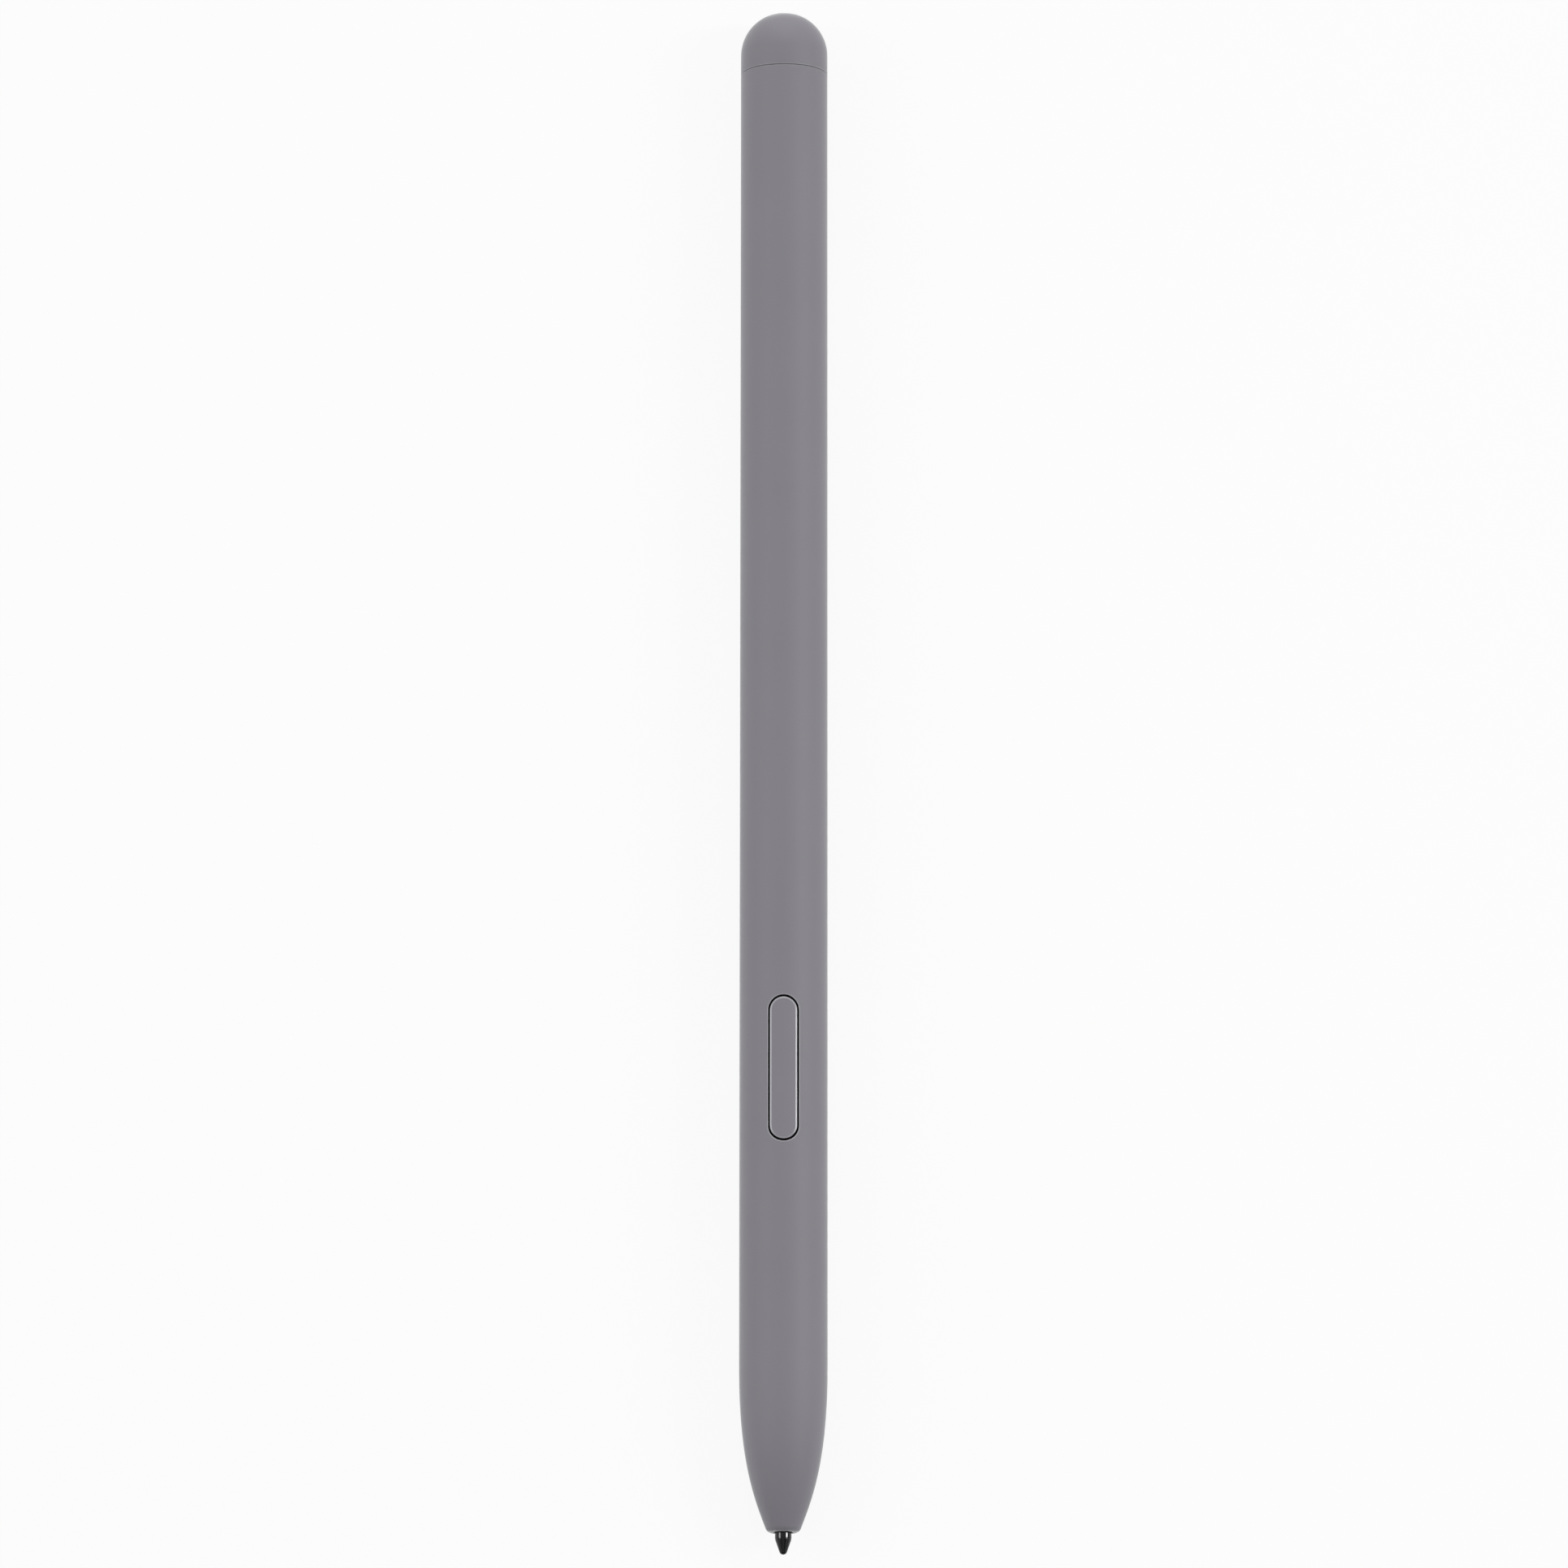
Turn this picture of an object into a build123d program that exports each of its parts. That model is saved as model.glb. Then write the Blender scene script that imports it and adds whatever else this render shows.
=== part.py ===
from build123d import *
import math
import os

# A passive stylus pen for a tablet: a slim moulded barrel with a bullet nose, a domed end cap,
# one long side button and a small replaceable nib, with the sensor, coil, board, switch and
# magnets that it holds inside. Every length is in millimetres.
# Each piece is drawn upright, with its axis on Z, the nib's tip at 0 and the button facing -Y.
# A "station" is a height along that axis, a "level" is a distance from the axis towards the
# button, and the finished pieces are laid on the pen's back flat, with the button up.

# Barrel
BARREL_DIAMETER = 8.0
BARREL_LENGTH = 136.04
BARREL_WALL = 0.8
REST_FLAT_DEPTH = 0.45
NOSE_LENGTH = 15.0
NOSE_RIM_DIAMETER = 2.9
NOSE_RIM_HALF_ANGLE = 20.8
NOSE_SHOULDER_SWEEP = 8.5
NOSE_RIM_SWEEP = 3.2
NOSE_LIP_RADIUS = 0.6
NOSE_HOLLOW_STEPS = 2
NIB_HOLE_CLEARANCE = 0.13
SEAM_EDGE = 0.08

# End cap
CAP_SKIRT = 1.86
CAP_SPIGOT_LENGTH = 4.5
CAP_SPIGOT_WALL = 0.7
CAP_SPIGOT_CLEARANCE = 0.04
GLUE_GROOVE_WIDTH = 1.2
GLUE_GROOVE_DEPTH = 0.2

# Side button
BUTTON_LENGTH = 13.05
BUTTON_WIDTH = 2.42
BUTTON_GAP = 0.2
BUTTON_PROUD = 0.06
BUTTON_FROM_RIM = 41.86
BUTTON_TRAVEL = 0.25
BUTTON_EDGE = 0.15
SLOT_EDGE = 0.08
BUTTON_TAB_WIDTH = 1.4
BUTTON_TAB_REACH = 0.7
BUTTON_TAB_THICKNESS = 0.35
BUTTON_TAB_CLEARANCE = 0.05
BUTTON_BOSS_DIAMETER = 1.6
BUTTON_BOSS_LENGTH = 0.6

# Nib
NIB_REACH = 2.0
NIB_DIAMETER = 1.5
NIB_BALL_RADIUS = 0.36
NIB_CONE_LENGTH = 1.41
NIB_GROOVE_WIDTH = 0.08
NIB_GROOVE_DEPTH = 0.05
NIB_HEAD_LENGTH = 3.4
NIB_TAPER_LENGTH = 0.5
NIB_STEM_DIAMETER = 1.0
NIB_STEM_CHAMFER = 0.15
NIB_GRIP_LENGTH = 2.2
NIB_GRIP_CLEARANCE = 0.02
NIB_TRAVEL = 0.3

# Core and coil
CORE_DIAMETER = 3.4
CORE_BORE_CLEARANCE = 0.25
CORE_CHAMFER = 0.3
PACKING_WALL = 0.35
PACKING_LIP = 0.8
PACKING_GRIP = 1.2
PACKING_CLEARANCE = 0.04
COIL_BUILD = 0.4
COIL_FRONT_MARGIN = 0.8
COIL_BACK_MARGIN = 1.5
COIL_EDGE = 0.1
COIL_CLEARANCE = 0.02
CORE_CUSHION_THICKNESS = 0.8
LEAD_DIAMETER = 0.2
LEAD_SIDES = 6
LEAD_SPACING = 1.3
LEAD_RUN = 0.4
LEAD_DROP = 2.6
LEAD_LAP = 1.2
LEAD_BEND_RADIUS = 0.6
LEAD_GROOVE_FLOOR = 0.25
LEAD_CLEARANCE = 0.05

# Pressure sensor
SENSOR_BORE_SHARE = 0.62
SENSOR_BACK_WALL = 1.0
SENSOR_CLEARANCE = 0.04
COLLAR_PLUG_LENGTH = 1.2
COLLAR_LIP = 0.2
COLLAR_LIP_THICKNESS = 0.5
HOLDER_FLANGE_THICKNESS = 1.0
HOLDER_GRIP_WALL = 0.4
HOLDER_RECESS = 0.1
HOLDER_STOP_GAP = 0.02
HOLDER_SLIT_WIDTH = 0.2
HOLDER_SLIT_LENGTH = 1.4
SPRING_LENGTH = 2.2
SPRING_WIRE = 0.2
SPRING_TURNS = 3
SPRING_SIDES = 5
SPRING_CLEARANCE = 0.2
SPRING_SEAT_GAP = 0.03
CONTACT_THICKNESS = 0.6
CONTACT_CROWN = 0.12
CONTACT_GAP = 0.08
DISC_THICKNESS = 0.5
TERMINAL_THICKNESS = 0.15
TERMINAL_LEG_WIDTH = 0.8
TERMINAL_LEG_LAP = 1.2
TERMINAL_SLOT_CLEARANCE = 0.1

# Chassis and circuit board
CHASSIS_CLEARANCE = 0.08
CHASSIS_TAIL_MARGIN = 1.5
BOARD_FRONT_REACH = 16.0
BOARD_BACK_REACH = 10.0
BOARD_THICKNESS = 0.6
BOARD_CLEARANCE = 0.05
BOARD_RAIL_WIDTH = 0.6
BOARD_RAIL_LIP = 0.2
BOARD_CORNER_RADIUS = 0.4
CHIP_LENGTH = 1.0
CHIP_WIDTH = 0.5
CHIP_HEIGHT = 0.5
CHIP_END_LENGTH = 0.22
CHIP_BODY_SINK = 0.03
CHIP_PITCH = 1.5
CHIP_ROW_SPACING = 1.4

# Push switch
SWITCH_LENGTH = 3.4
SWITCH_WIDTH = 2.8
SWITCH_HEIGHT = 0.8
SWITCH_FLOOR = 0.2
SWITCH_POCKET_DIAMETER = 2.2
SWITCH_COVER_THICKNESS = 0.1
SWITCH_COVER_HOOK = 0.4
SWITCH_CLEARANCE = 0.05
PLUNGER_DIAMETER = 1.3
PLUNGER_FLANGE_DIAMETER = 1.8
PLUNGER_FLANGE_THICKNESS = 0.14
PLUNGER_STAND_OFF = 0.15
DOME_THICKNESS = 0.06
DOME_SPARE_RISE = 0.05
DOME_GAP = 0.02

# Magnets and their carrier
MAGNET_LENGTH = 10.0
MAGNET_THICKNESS = 1.4
MAGNET_POCKET_WALL = 0.4
MAGNET_CLEARANCE = 0.04
MAGNET_EDGE = 0.1
MAGNET_PITCH = 16.0
CARRIER_WALL = 0.8
CARRIER_RIB = 1.2
CARRIER_FLOOR = 0.8
CARRIER_SEAT_GAP = 0.05
END_CUSHION_THICKNESS = 0.8

# Added to a cutting tool so that it passes right through what it cuts
OVERRUN = 1.0

# Sections of the barrel and of what slides into it
barrel_radius = BARREL_DIAMETER / 2
bore_radius = barrel_radius - BARREL_WALL
rest_flat = barrel_radius - REST_FLAT_DEPTH
bore_flat = rest_flat - BARREL_WALL
chassis_radius = bore_radius - CHASSIS_CLEARANCE
chassis_flat = bore_flat - CHASSIS_CLEARANCE
spigot_radius = bore_radius - CAP_SPIGOT_CLEARANCE
spigot_flat = bore_flat - CAP_SPIGOT_CLEARANCE
nib_radius = NIB_DIAMETER / 2
stem_radius = NIB_STEM_DIAMETER / 2
core_radius = CORE_DIAMETER / 2
coil_inner_radius = core_radius + COIL_CLEARANCE
coil_radius = coil_inner_radius + COIL_BUILD
sleeve_radius = stem_radius + HOLDER_GRIP_WALL
sensor_radius = sleeve_radius + (chassis_flat - sleeve_radius) * SENSOR_BORE_SHARE
spring_radius = sensor_radius - SPRING_CLEARANCE - SPRING_WIRE / 2
contact_radius = spring_radius - SPRING_WIRE / 2 - SPRING_CLEARANCE

# Stations along the pen, from the nib's tip
rim_station = NIB_REACH
shoulder_station = rim_station + NOSE_LENGTH
seam_station = rim_station + BARREL_LENGTH
dome_station = seam_station + CAP_SKIRT
overall_length = dome_station + barrel_radius
button_station = rim_station + BUTTON_FROM_RIM
board_front = button_station - BOARD_FRONT_REACH
board_back = button_station + BOARD_BACK_REACH
tray_front = board_front - BOARD_CLEARANCE
tray_back = board_back + BOARD_CLEARANCE
sensor_end = tray_front - SENSOR_BACK_WALL
terminal_front = sensor_end - TERMINAL_THICKNESS
disc_front = terminal_front - DISC_THICKNESS
flange_back = disc_front - SPRING_LENGTH
flange_front = flange_back - HOLDER_FLANGE_THICKNESS
collar_back = flange_front - HOLDER_STOP_GAP
chassis_front = collar_back - COLLAR_PLUG_LENGTH
collar_front = chassis_front - COLLAR_LIP_THICKNESS
sleeve_front = collar_front + HOLDER_RECESS
stem_end = sleeve_front + NIB_GRIP_LENGTH
contact_back = disc_front - NIB_TRAVEL - CONTACT_GAP
contact_front = contact_back - CONTACT_THICKNESS
core_back = collar_front - CORE_CUSHION_THICKNESS
chassis_back = tray_back + MAGNET_LENGTH + CHASSIS_TAIL_MARGIN * 2
spigot_front = seam_station - CAP_SPIGOT_LENGTH
carrier_front = chassis_back + CARRIER_SEAT_GAP
carrier_back = spigot_front - END_CUSHION_THICKNESS

# Levels under the button, from the bore's wall down to the board
tab_top = math.sqrt(bore_radius ** 2 - (BUTTON_TAB_WIDTH / 2) ** 2) - BUTTON_TAB_CLEARANCE
key_underside = tab_top - BUTTON_TAB_THICKNESS
plunger_top = key_underside - BUTTON_BOSS_LENGTH
cover_top = plunger_top - BUTTON_TRAVEL - PLUNGER_STAND_OFF
housing_top = cover_top - SWITCH_COVER_THICKNESS
board_top = housing_top - SWITCH_HEIGHT
board_underside = board_top - BOARD_THICKNESS
pocket_floor = board_top + SWITCH_FLOOR
dome_rise = BUTTON_TRAVEL + DOME_SPARE_RISE
dome_crown = pocket_floor + dome_rise + DOME_THICKNESS
rail_top = board_top + BOARD_RAIL_LIP
tray_width = (math.sqrt(chassis_radius ** 2 - rail_top ** 2) - BOARD_RAIL_WIDTH) * 2
board_width = tray_width - BOARD_CLEARANCE * 2
lead_level = sensor_radius + LEAD_GROOVE_FLOOR + LEAD_CLEARANCE + LEAD_DIAMETER / 2
pocket_width = (math.sqrt(chassis_radius ** 2 - chassis_flat ** 2) - MAGNET_POCKET_WALL) * 2


def bar(radius, start, end):
    """Round bar on the pen's axis."""
    return Pos(0, 0, start) * Cylinder(
        radius, end - start, align=(Align.CENTER, Align.CENTER, Align.MIN)
    )


def ring(outer_radius, inner_radius, start, end):
    """Tube on the pen's axis."""
    return bar(outer_radius, start, end) - bar(inner_radius, start, end)


def back_slab(flat, start, end):
    """All that lies behind a plane parallel to the back flat."""
    return Pos(0, flat, start) * Box(
        BARREL_DIAMETER, barrel_radius, end - start, align=(Align.CENTER, Align.MIN, Align.MIN)
    )


def d_bar(radius, flat, start, end):
    """Round bar with a flat along its back."""
    return bar(radius, start, end) - back_slab(flat, start, end)


def front_block(width, low, high, start, end, offset=0):
    """Block across the pen between two levels and two stations."""
    return Pos(offset, -low, start) * Box(
        width, high - low, end - start, align=(Align.CENTER, Align.MAX, Align.MIN)
    )


def front_post(diameter, low, high):
    """Round post that points at the side button."""
    plane = Plane((0, -low, button_station), x_dir=(0, 0, 1), z_dir=(0, -1, 0))
    return extrude(plane * Circle(diameter / 2), high - low)


def front_pill(length, width, low, high):
    """Pill-shaped block along the pen at the side button."""
    plane = Plane((0, -low, button_station), x_dir=(0, 0, 1), z_dir=(0, -1, 0))
    return extrude(plane * SlotOverall(length, width), high - low)


def turned(*edges):
    """Solid of revolution about the pen's axis from a closed outline of radii and stations."""
    return revolve(make_face(edges), Axis.Z)


def nose_curve(inset, stop=0):
    """Side of the nose from the shoulder down to the rim, moved inwards and ended short of the rim."""
    angle = math.radians(NOSE_RIM_HALF_ANGLE)
    along = Vector(math.sin(angle), 0, math.cos(angle))
    inwards = Vector(-math.cos(angle), 0, math.sin(angle))
    rim = Vector(NOSE_RIM_DIAMETER / 2, 0, rim_station) + inwards * inset
    shoulder = Vector(barrel_radius - inset, 0, shoulder_station)
    sweep_down = Vector(0, 0, -NOSE_SHOULDER_SWEEP)
    return Bezier(shoulder, shoulder + sweep_down, rim + along * NOSE_RIM_SWEEP, rim + along * stop)


def barrel_form(end):
    """Round outer form of the barrel, with a rounded lip at the nose's rim."""
    lip_sweep = math.pi / 2 - math.radians(NOSE_RIM_HALF_ANGLE)
    lip_run = NOSE_LIP_RADIUS * math.tan(lip_sweep / 2)
    side = nose_curve(0, lip_run)
    lip = TangentArc(side @ 1, (NOSE_RIM_DIAMETER / 2 - lip_run, 0, rim_station), tangent=side % 1)
    corners = [lip @ 1, (0, 0, rim_station), (0, 0, end), (barrel_radius, 0, end), side @ 0]
    return turned(side, lip, Polyline(*corners))


def hollow_points(inset):
    """Points down the inside of the nose, between which its hollow is conical."""
    side = nose_curve(inset)
    return [side @ (step / NOSE_HOLLOW_STEPS) for step in range(NOSE_HOLLOW_STEPS + 1)]


def hollow_form(inset, end):
    """Hollow of the barrel with its keying flat."""
    points = hollow_points(inset)
    shoulder, rim = points[0], points[-1]
    corners = points + [(0, 0, rim.Z), (0, 0, end), (shoulder.X, 0, end), shoulder]
    return turned(Polyline(*corners)) - back_slab(rest_flat - inset, 0, end)


def hollow_station(radius):
    """Station at which the nose's hollow has opened out to a radius."""
    points = hollow_points(BARREL_WALL)
    wide, narrow = next(pair for pair in zip(points, points[1:]) if pair[1].X < radius)
    return narrow.Z + (wide.Z - narrow.Z) * (radius - narrow.X) / (wide.X - narrow.X)


core_front = hollow_station(core_radius + PACKING_WALL)
coil_front = core_front + PACKING_GRIP + COIL_FRONT_MARGIN
coil_back = core_back - COIL_BACK_MARGIN


def make_barrel():
    """Moulded tube with a bullet nose, a lipped nib hole, a back flat and the button's slot."""
    body = barrel_form(seam_station) - back_slab(rest_flat, 0, overall_length)
    body -= hollow_form(BARREL_WALL, seam_station + OVERRUN)
    body -= bar(nib_radius + NIB_HOLE_CLEARANCE, 0, shoulder_station)
    slot_length = BUTTON_LENGTH + BUTTON_GAP * 2
    slot_width = BUTTON_WIDTH + BUTTON_GAP * 2
    body -= front_pill(slot_length, slot_width, 0, barrel_radius + OVERRUN)
    middle_level = bore_radius + BARREL_WALL / 2
    low, high = button_station - slot_length, button_station + slot_length
    slot_edges = [
        edge
        for edge in body.edges()
        if -edge.center().Y > middle_level and low < edge.center().Z < high
    ]
    body = chamfer(slot_edges, SLOT_EDGE)
    return chamfer(body.edges().group_by(Axis.Z)[-1], SEAM_EDGE)


def make_end_cap():
    """Domed plug whose hollow spigot is bonded into the barrel."""
    lean = math.sqrt(barrel_radius ** 2 / 2)
    side = Vector(barrel_radius, 0, dome_station)
    crown = Vector(0, 0, overall_length)
    dome = ThreePointArc(side, (lean, 0, dome_station + lean), crown)
    base = [crown, (0, 0, seam_station), (barrel_radius, 0, seam_station), side]
    head = turned(dome, Polyline(*base)) - back_slab(rest_flat, 0, overall_length)
    head = chamfer(head.edges().group_by(Axis.Z)[0], SEAM_EDGE)
    spigot = d_bar(spigot_radius, spigot_flat, spigot_front, seam_station)
    groove_front = (spigot_front + seam_station - GLUE_GROOVE_WIDTH) / 2
    groove_back = groove_front + GLUE_GROOVE_WIDTH
    spigot -= bar(barrel_radius, groove_front, groove_back) - d_bar(
        spigot_radius - GLUE_GROOVE_DEPTH, spigot_flat - GLUE_GROOVE_DEPTH, groove_front, groove_back
    )
    return head + spigot - d_bar(
        spigot_radius - CAP_SPIGOT_WALL, spigot_flat - CAP_SPIGOT_WALL, spigot_front, dome_station
    )


def make_side_button():
    """Pill-shaped key that follows the barrel's round, with a keeper tongue and a boss below."""
    top_radius = barrel_radius + BUTTON_PROUD
    key = front_pill(BUTTON_LENGTH, BUTTON_WIDTH, key_underside, top_radius + OVERRUN)
    key &= bar(top_radius, 0, overall_length)
    top_edges = key.faces().sort_by(Axis.Y)[0].edges()
    key = chamfer(top_edges, BUTTON_EDGE)
    reach = BUTTON_LENGTH / 2 + BUTTON_GAP + BUTTON_TAB_REACH
    start, end = button_station - reach, button_station + reach
    key += front_block(BUTTON_TAB_WIDTH, key_underside, tab_top, start, end)
    return key + front_post(BUTTON_BOSS_DIAMETER, plunger_top, key_underside)


def make_nib():
    """Ball-tipped cone on a short cylinder, with a fine groove between and a thin stem behind."""
    rise = NIB_CONE_LENGTH - NIB_BALL_RADIUS
    slant = math.hypot(nib_radius, rise)
    touch = math.atan2(rise, nib_radius) - math.acos(NIB_BALL_RADIUS / slant)
    centre = Vector(0, 0, NIB_BALL_RADIUS)
    halfway = (touch - math.pi / 2) / 2
    touch_point = centre + Vector(math.cos(touch), 0, math.sin(touch)) * NIB_BALL_RADIUS
    ball_point = centre + Vector(math.cos(halfway), 0, math.sin(halfway)) * NIB_BALL_RADIUS
    tip = ThreePointArc((0, 0, 0), ball_point, touch_point)
    groove_end = NIB_CONE_LENGTH + NIB_GROOVE_WIDTH
    side = [
        touch_point,
        (nib_radius, 0, NIB_CONE_LENGTH),
        (nib_radius - NIB_GROOVE_DEPTH, 0, NIB_CONE_LENGTH),
        (nib_radius - NIB_GROOVE_DEPTH, 0, groove_end),
        (nib_radius, 0, groove_end),
        (nib_radius, 0, NIB_HEAD_LENGTH),
        (stem_radius, 0, NIB_HEAD_LENGTH + NIB_TAPER_LENGTH),
        (stem_radius, 0, stem_end - NIB_STEM_CHAMFER),
        (stem_radius - NIB_STEM_CHAMFER, 0, stem_end),
        (0, 0, stem_end),
        (0, 0, 0),
    ]
    return turned(tip, Polyline(*side))


def make_core_packing():
    """Rubber bush that fits the nose's hollow and cups the front of the core."""
    front = core_front - PACKING_LIP
    back = core_front + PACKING_GRIP
    bush = hollow_form(BARREL_WALL + PACKING_CLEARANCE, seam_station) & bar(barrel_radius, front, back)
    bush -= bar(core_radius, core_front, back)
    return bush - bar(stem_radius + CORE_BORE_CLEARANCE, front, back)


def make_ferrite_core():
    """Tubular core round the nib's stem, chamfered at its front."""
    core = bar(core_radius, core_front, core_back)
    core = chamfer(core.edges().group_by(Axis.Z)[0], CORE_CHAMFER)
    return core - bar(stem_radius + CORE_BORE_CLEARANCE, core_front, core_back)


def make_coil_winding():
    """Close layers of fine wire on the core, as one sleeve with broken edges."""
    coil = bar(coil_radius, coil_front, coil_back)
    ends = coil.edges().filter_by(GeomType.CIRCLE)
    return chamfer(ends, COIL_EDGE) - bar(coil_inner_radius, coil_front, coil_back)


def make_coil_leads():
    """The coil wire's two ends, led over the sensor and down to the board."""
    coil_level = (coil_inner_radius + coil_radius) / 2
    end_level = board_top + LEAD_DIAMETER / 2
    leave = tray_front + LEAD_RUN
    land = leave + LEAD_DROP
    leads = []
    for side in (-1, 1):
        across = side * LEAD_SPACING / 2
        start = math.sqrt(coil_level ** 2 - across ** 2)
        route = [
            (across, -start, coil_back),
            (across, -start, coil_back + LEAD_RUN),
            (across, -lead_level, core_back),
            (across, -lead_level, leave),
            (across, -end_level, land),
            (across, -end_level, land + LEAD_LAP),
        ]
        path = FilletPolyline(*route, radius=LEAD_BEND_RADIUS)
        section = Plane(route[0], z_dir=(0, 0, 1)) * RegularPolygon(LEAD_DIAMETER / 2, LEAD_SIDES)
        leads.append(sweep(section, path))
    return Compound(children=leads)


def make_core_cushion():
    """Rubber ring between the core and the sensor."""
    return ring(core_radius, sleeve_radius, core_back, collar_front)


def make_sensor_collar():
    """Lipped bush that closes the sensor's bore and guides the nib holder."""
    collar = bar(sensor_radius + COLLAR_LIP, collar_front, chassis_front)
    collar += bar(sensor_radius - SENSOR_CLEARANCE, chassis_front, collar_back)
    return collar - bar(sleeve_radius + SENSOR_CLEARANCE, collar_front, collar_back)


def make_nib_holder():
    """Flanged sleeve with a slit front end that grips the nib's stem."""
    holder = bar(sleeve_radius, sleeve_front, flange_front)
    holder += bar(sensor_radius - SENSOR_CLEARANCE, flange_front, flange_back)
    holder += bar(contact_radius, flange_back, contact_front)
    holder -= bar(stem_radius + NIB_GRIP_CLEARANCE, sleeve_front, stem_end + NIB_GRIP_CLEARANCE)
    slit_end = sleeve_front + HOLDER_SLIT_LENGTH
    return holder - front_block(
        HOLDER_SLIT_WIDTH, -sensor_radius, sensor_radius, sleeve_front, slit_end
    )


def make_contact_rubber():
    """Conductive rubber puck with a crowned face towards the disc."""
    shoulder = contact_back - CONTACT_CROWN
    edge = Vector(contact_radius, 0, shoulder)
    crown = Vector(0, 0, contact_back)
    bow = (contact_radius ** 2 + CONTACT_CROWN ** 2) / (CONTACT_CROWN * 2)
    half = math.asin(contact_radius / bow) / 2
    between = Vector(bow * math.sin(half), 0, contact_back - bow * (1 - math.cos(half)))
    face = ThreePointArc(edge, between, crown)
    corners = [crown, (0, 0, contact_front), (contact_radius, 0, contact_front), edge]
    return turned(face, Polyline(*corners))


def make_sensor_spring():
    """Coil spring round the contact rubber, from the holder's flange to the disc."""
    start = flange_back + SPRING_SEAT_GAP + SPRING_WIRE / 2
    height = SPRING_LENGTH - SPRING_WIRE - SPRING_SEAT_GAP * 2
    path = Helix(height / SPRING_TURNS, height, spring_radius, center=(0, 0, start))
    section = Plane(path @ 0, z_dir=path % 0) * RegularPolygon(SPRING_WIRE / 2, SPRING_SIDES)
    return sweep(section, path, is_frenet=True)


def make_dielectric_disc():
    """Ceramic disc of the pressure capacitor."""
    return bar(sensor_radius - SENSOR_CLEARANCE, disc_front, terminal_front)


def make_rear_terminal():
    """Plate behind the disc with a leg that laps onto the board."""
    plate = bar(sensor_radius - SENSOR_CLEARANCE, terminal_front, sensor_end)
    leg_top = board_top + TERMINAL_THICKNESS
    leg_end = board_front + TERMINAL_LEG_LAP
    return plate + front_block(TERMINAL_LEG_WIDTH, board_top, leg_top, terminal_front, leg_end)


def make_chassis():
    """Moulded holder: sensor bore in front, board tray in the middle, magnet pocket in the tail."""
    body = d_bar(chassis_radius, chassis_flat, chassis_front, chassis_back)
    body -= bar(sensor_radius, chassis_front, sensor_end)
    leg_width = TERMINAL_LEG_WIDTH + TERMINAL_SLOT_CLEARANCE * 2
    leg_low = board_top - TERMINAL_SLOT_CLEARANCE
    leg_high = board_top + TERMINAL_THICKNESS + TERMINAL_SLOT_CLEARANCE
    body -= front_block(leg_width, leg_low, leg_high, sensor_end, tray_front)
    body -= front_block(BARREL_DIAMETER, rail_top, barrel_radius, tray_front, tray_back)
    body -= front_block(tray_width, board_underside, barrel_radius, tray_front, tray_back)
    groove_width = LEAD_DIAMETER + LEAD_CLEARANCE * 2
    groove_low = sensor_radius + LEAD_GROOVE_FLOOR
    for side in (-1, 1):
        across = side * LEAD_SPACING / 2
        body -= front_block(groove_width, groove_low, barrel_radius, chassis_front, tray_front, across)
    return body - magnet_pocket(tray_back + CHASSIS_TAIL_MARGIN)


def magnet_pocket(start):
    """Pocket for one bar magnet, open at the back flat."""
    front = start - MAGNET_CLEARANCE
    back = start + MAGNET_LENGTH + MAGNET_CLEARANCE
    floor = MAGNET_THICKNESS + MAGNET_CLEARANCE - chassis_flat
    return front_block(pocket_width, -barrel_radius, floor, front, back)


def make_circuit_board():
    """Narrow board that lies in the chassis tray."""
    board = front_block(board_width, board_underside, board_top, board_front, board_back)
    return fillet(board.edges().filter_by(Axis.Y), BOARD_CORNER_RADIUS)


def make_chip_capacitors():
    """Two rows of small tuning capacitors behind the switch."""
    first = button_station + SWITCH_LENGTH / 2 + CHIP_PITCH
    count = int((board_back - first) // CHIP_PITCH)
    body_width = CHIP_WIDTH - CHIP_BODY_SINK * 2
    chips = []
    for side in (-1, 1):
        across = side * CHIP_ROW_SPACING / 2
        for index in range(count):
            start = first + index * CHIP_PITCH
            end = start + CHIP_LENGTH
            top = board_top + CHIP_HEIGHT
            chip = front_block(body_width, board_top, top - CHIP_BODY_SINK, start, end, across)
            chip += front_block(CHIP_WIDTH, board_top, top, start, start + CHIP_END_LENGTH, across)
            chip += front_block(CHIP_WIDTH, board_top, top, end - CHIP_END_LENGTH, end, across)
            chips.append(chip)
    return Compound(children=chips)


def switch_block(width, low, high, length):
    """Block centred under the side button."""
    start = button_station - length / 2
    return front_block(width, low, high, start, start + length)


def make_switch_housing():
    """Moulded switch body with a round pocket for the snap dome."""
    housing = switch_block(SWITCH_WIDTH, board_top, housing_top, SWITCH_LENGTH)
    return housing - front_post(SWITCH_POCKET_DIAMETER, pocket_floor, housing_top)


def make_switch_cover():
    """Stamped cover with a hole for the plunger and a hook folded over each end."""
    length = SWITCH_LENGTH + SWITCH_COVER_THICKNESS * 2
    cover = switch_block(SWITCH_WIDTH, housing_top - SWITCH_COVER_HOOK, cover_top, length)
    cover -= switch_block(SWITCH_WIDTH, board_top, housing_top, SWITCH_LENGTH)
    return cover - front_post(PLUNGER_DIAMETER + SWITCH_CLEARANCE * 2, housing_top, cover_top)


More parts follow.
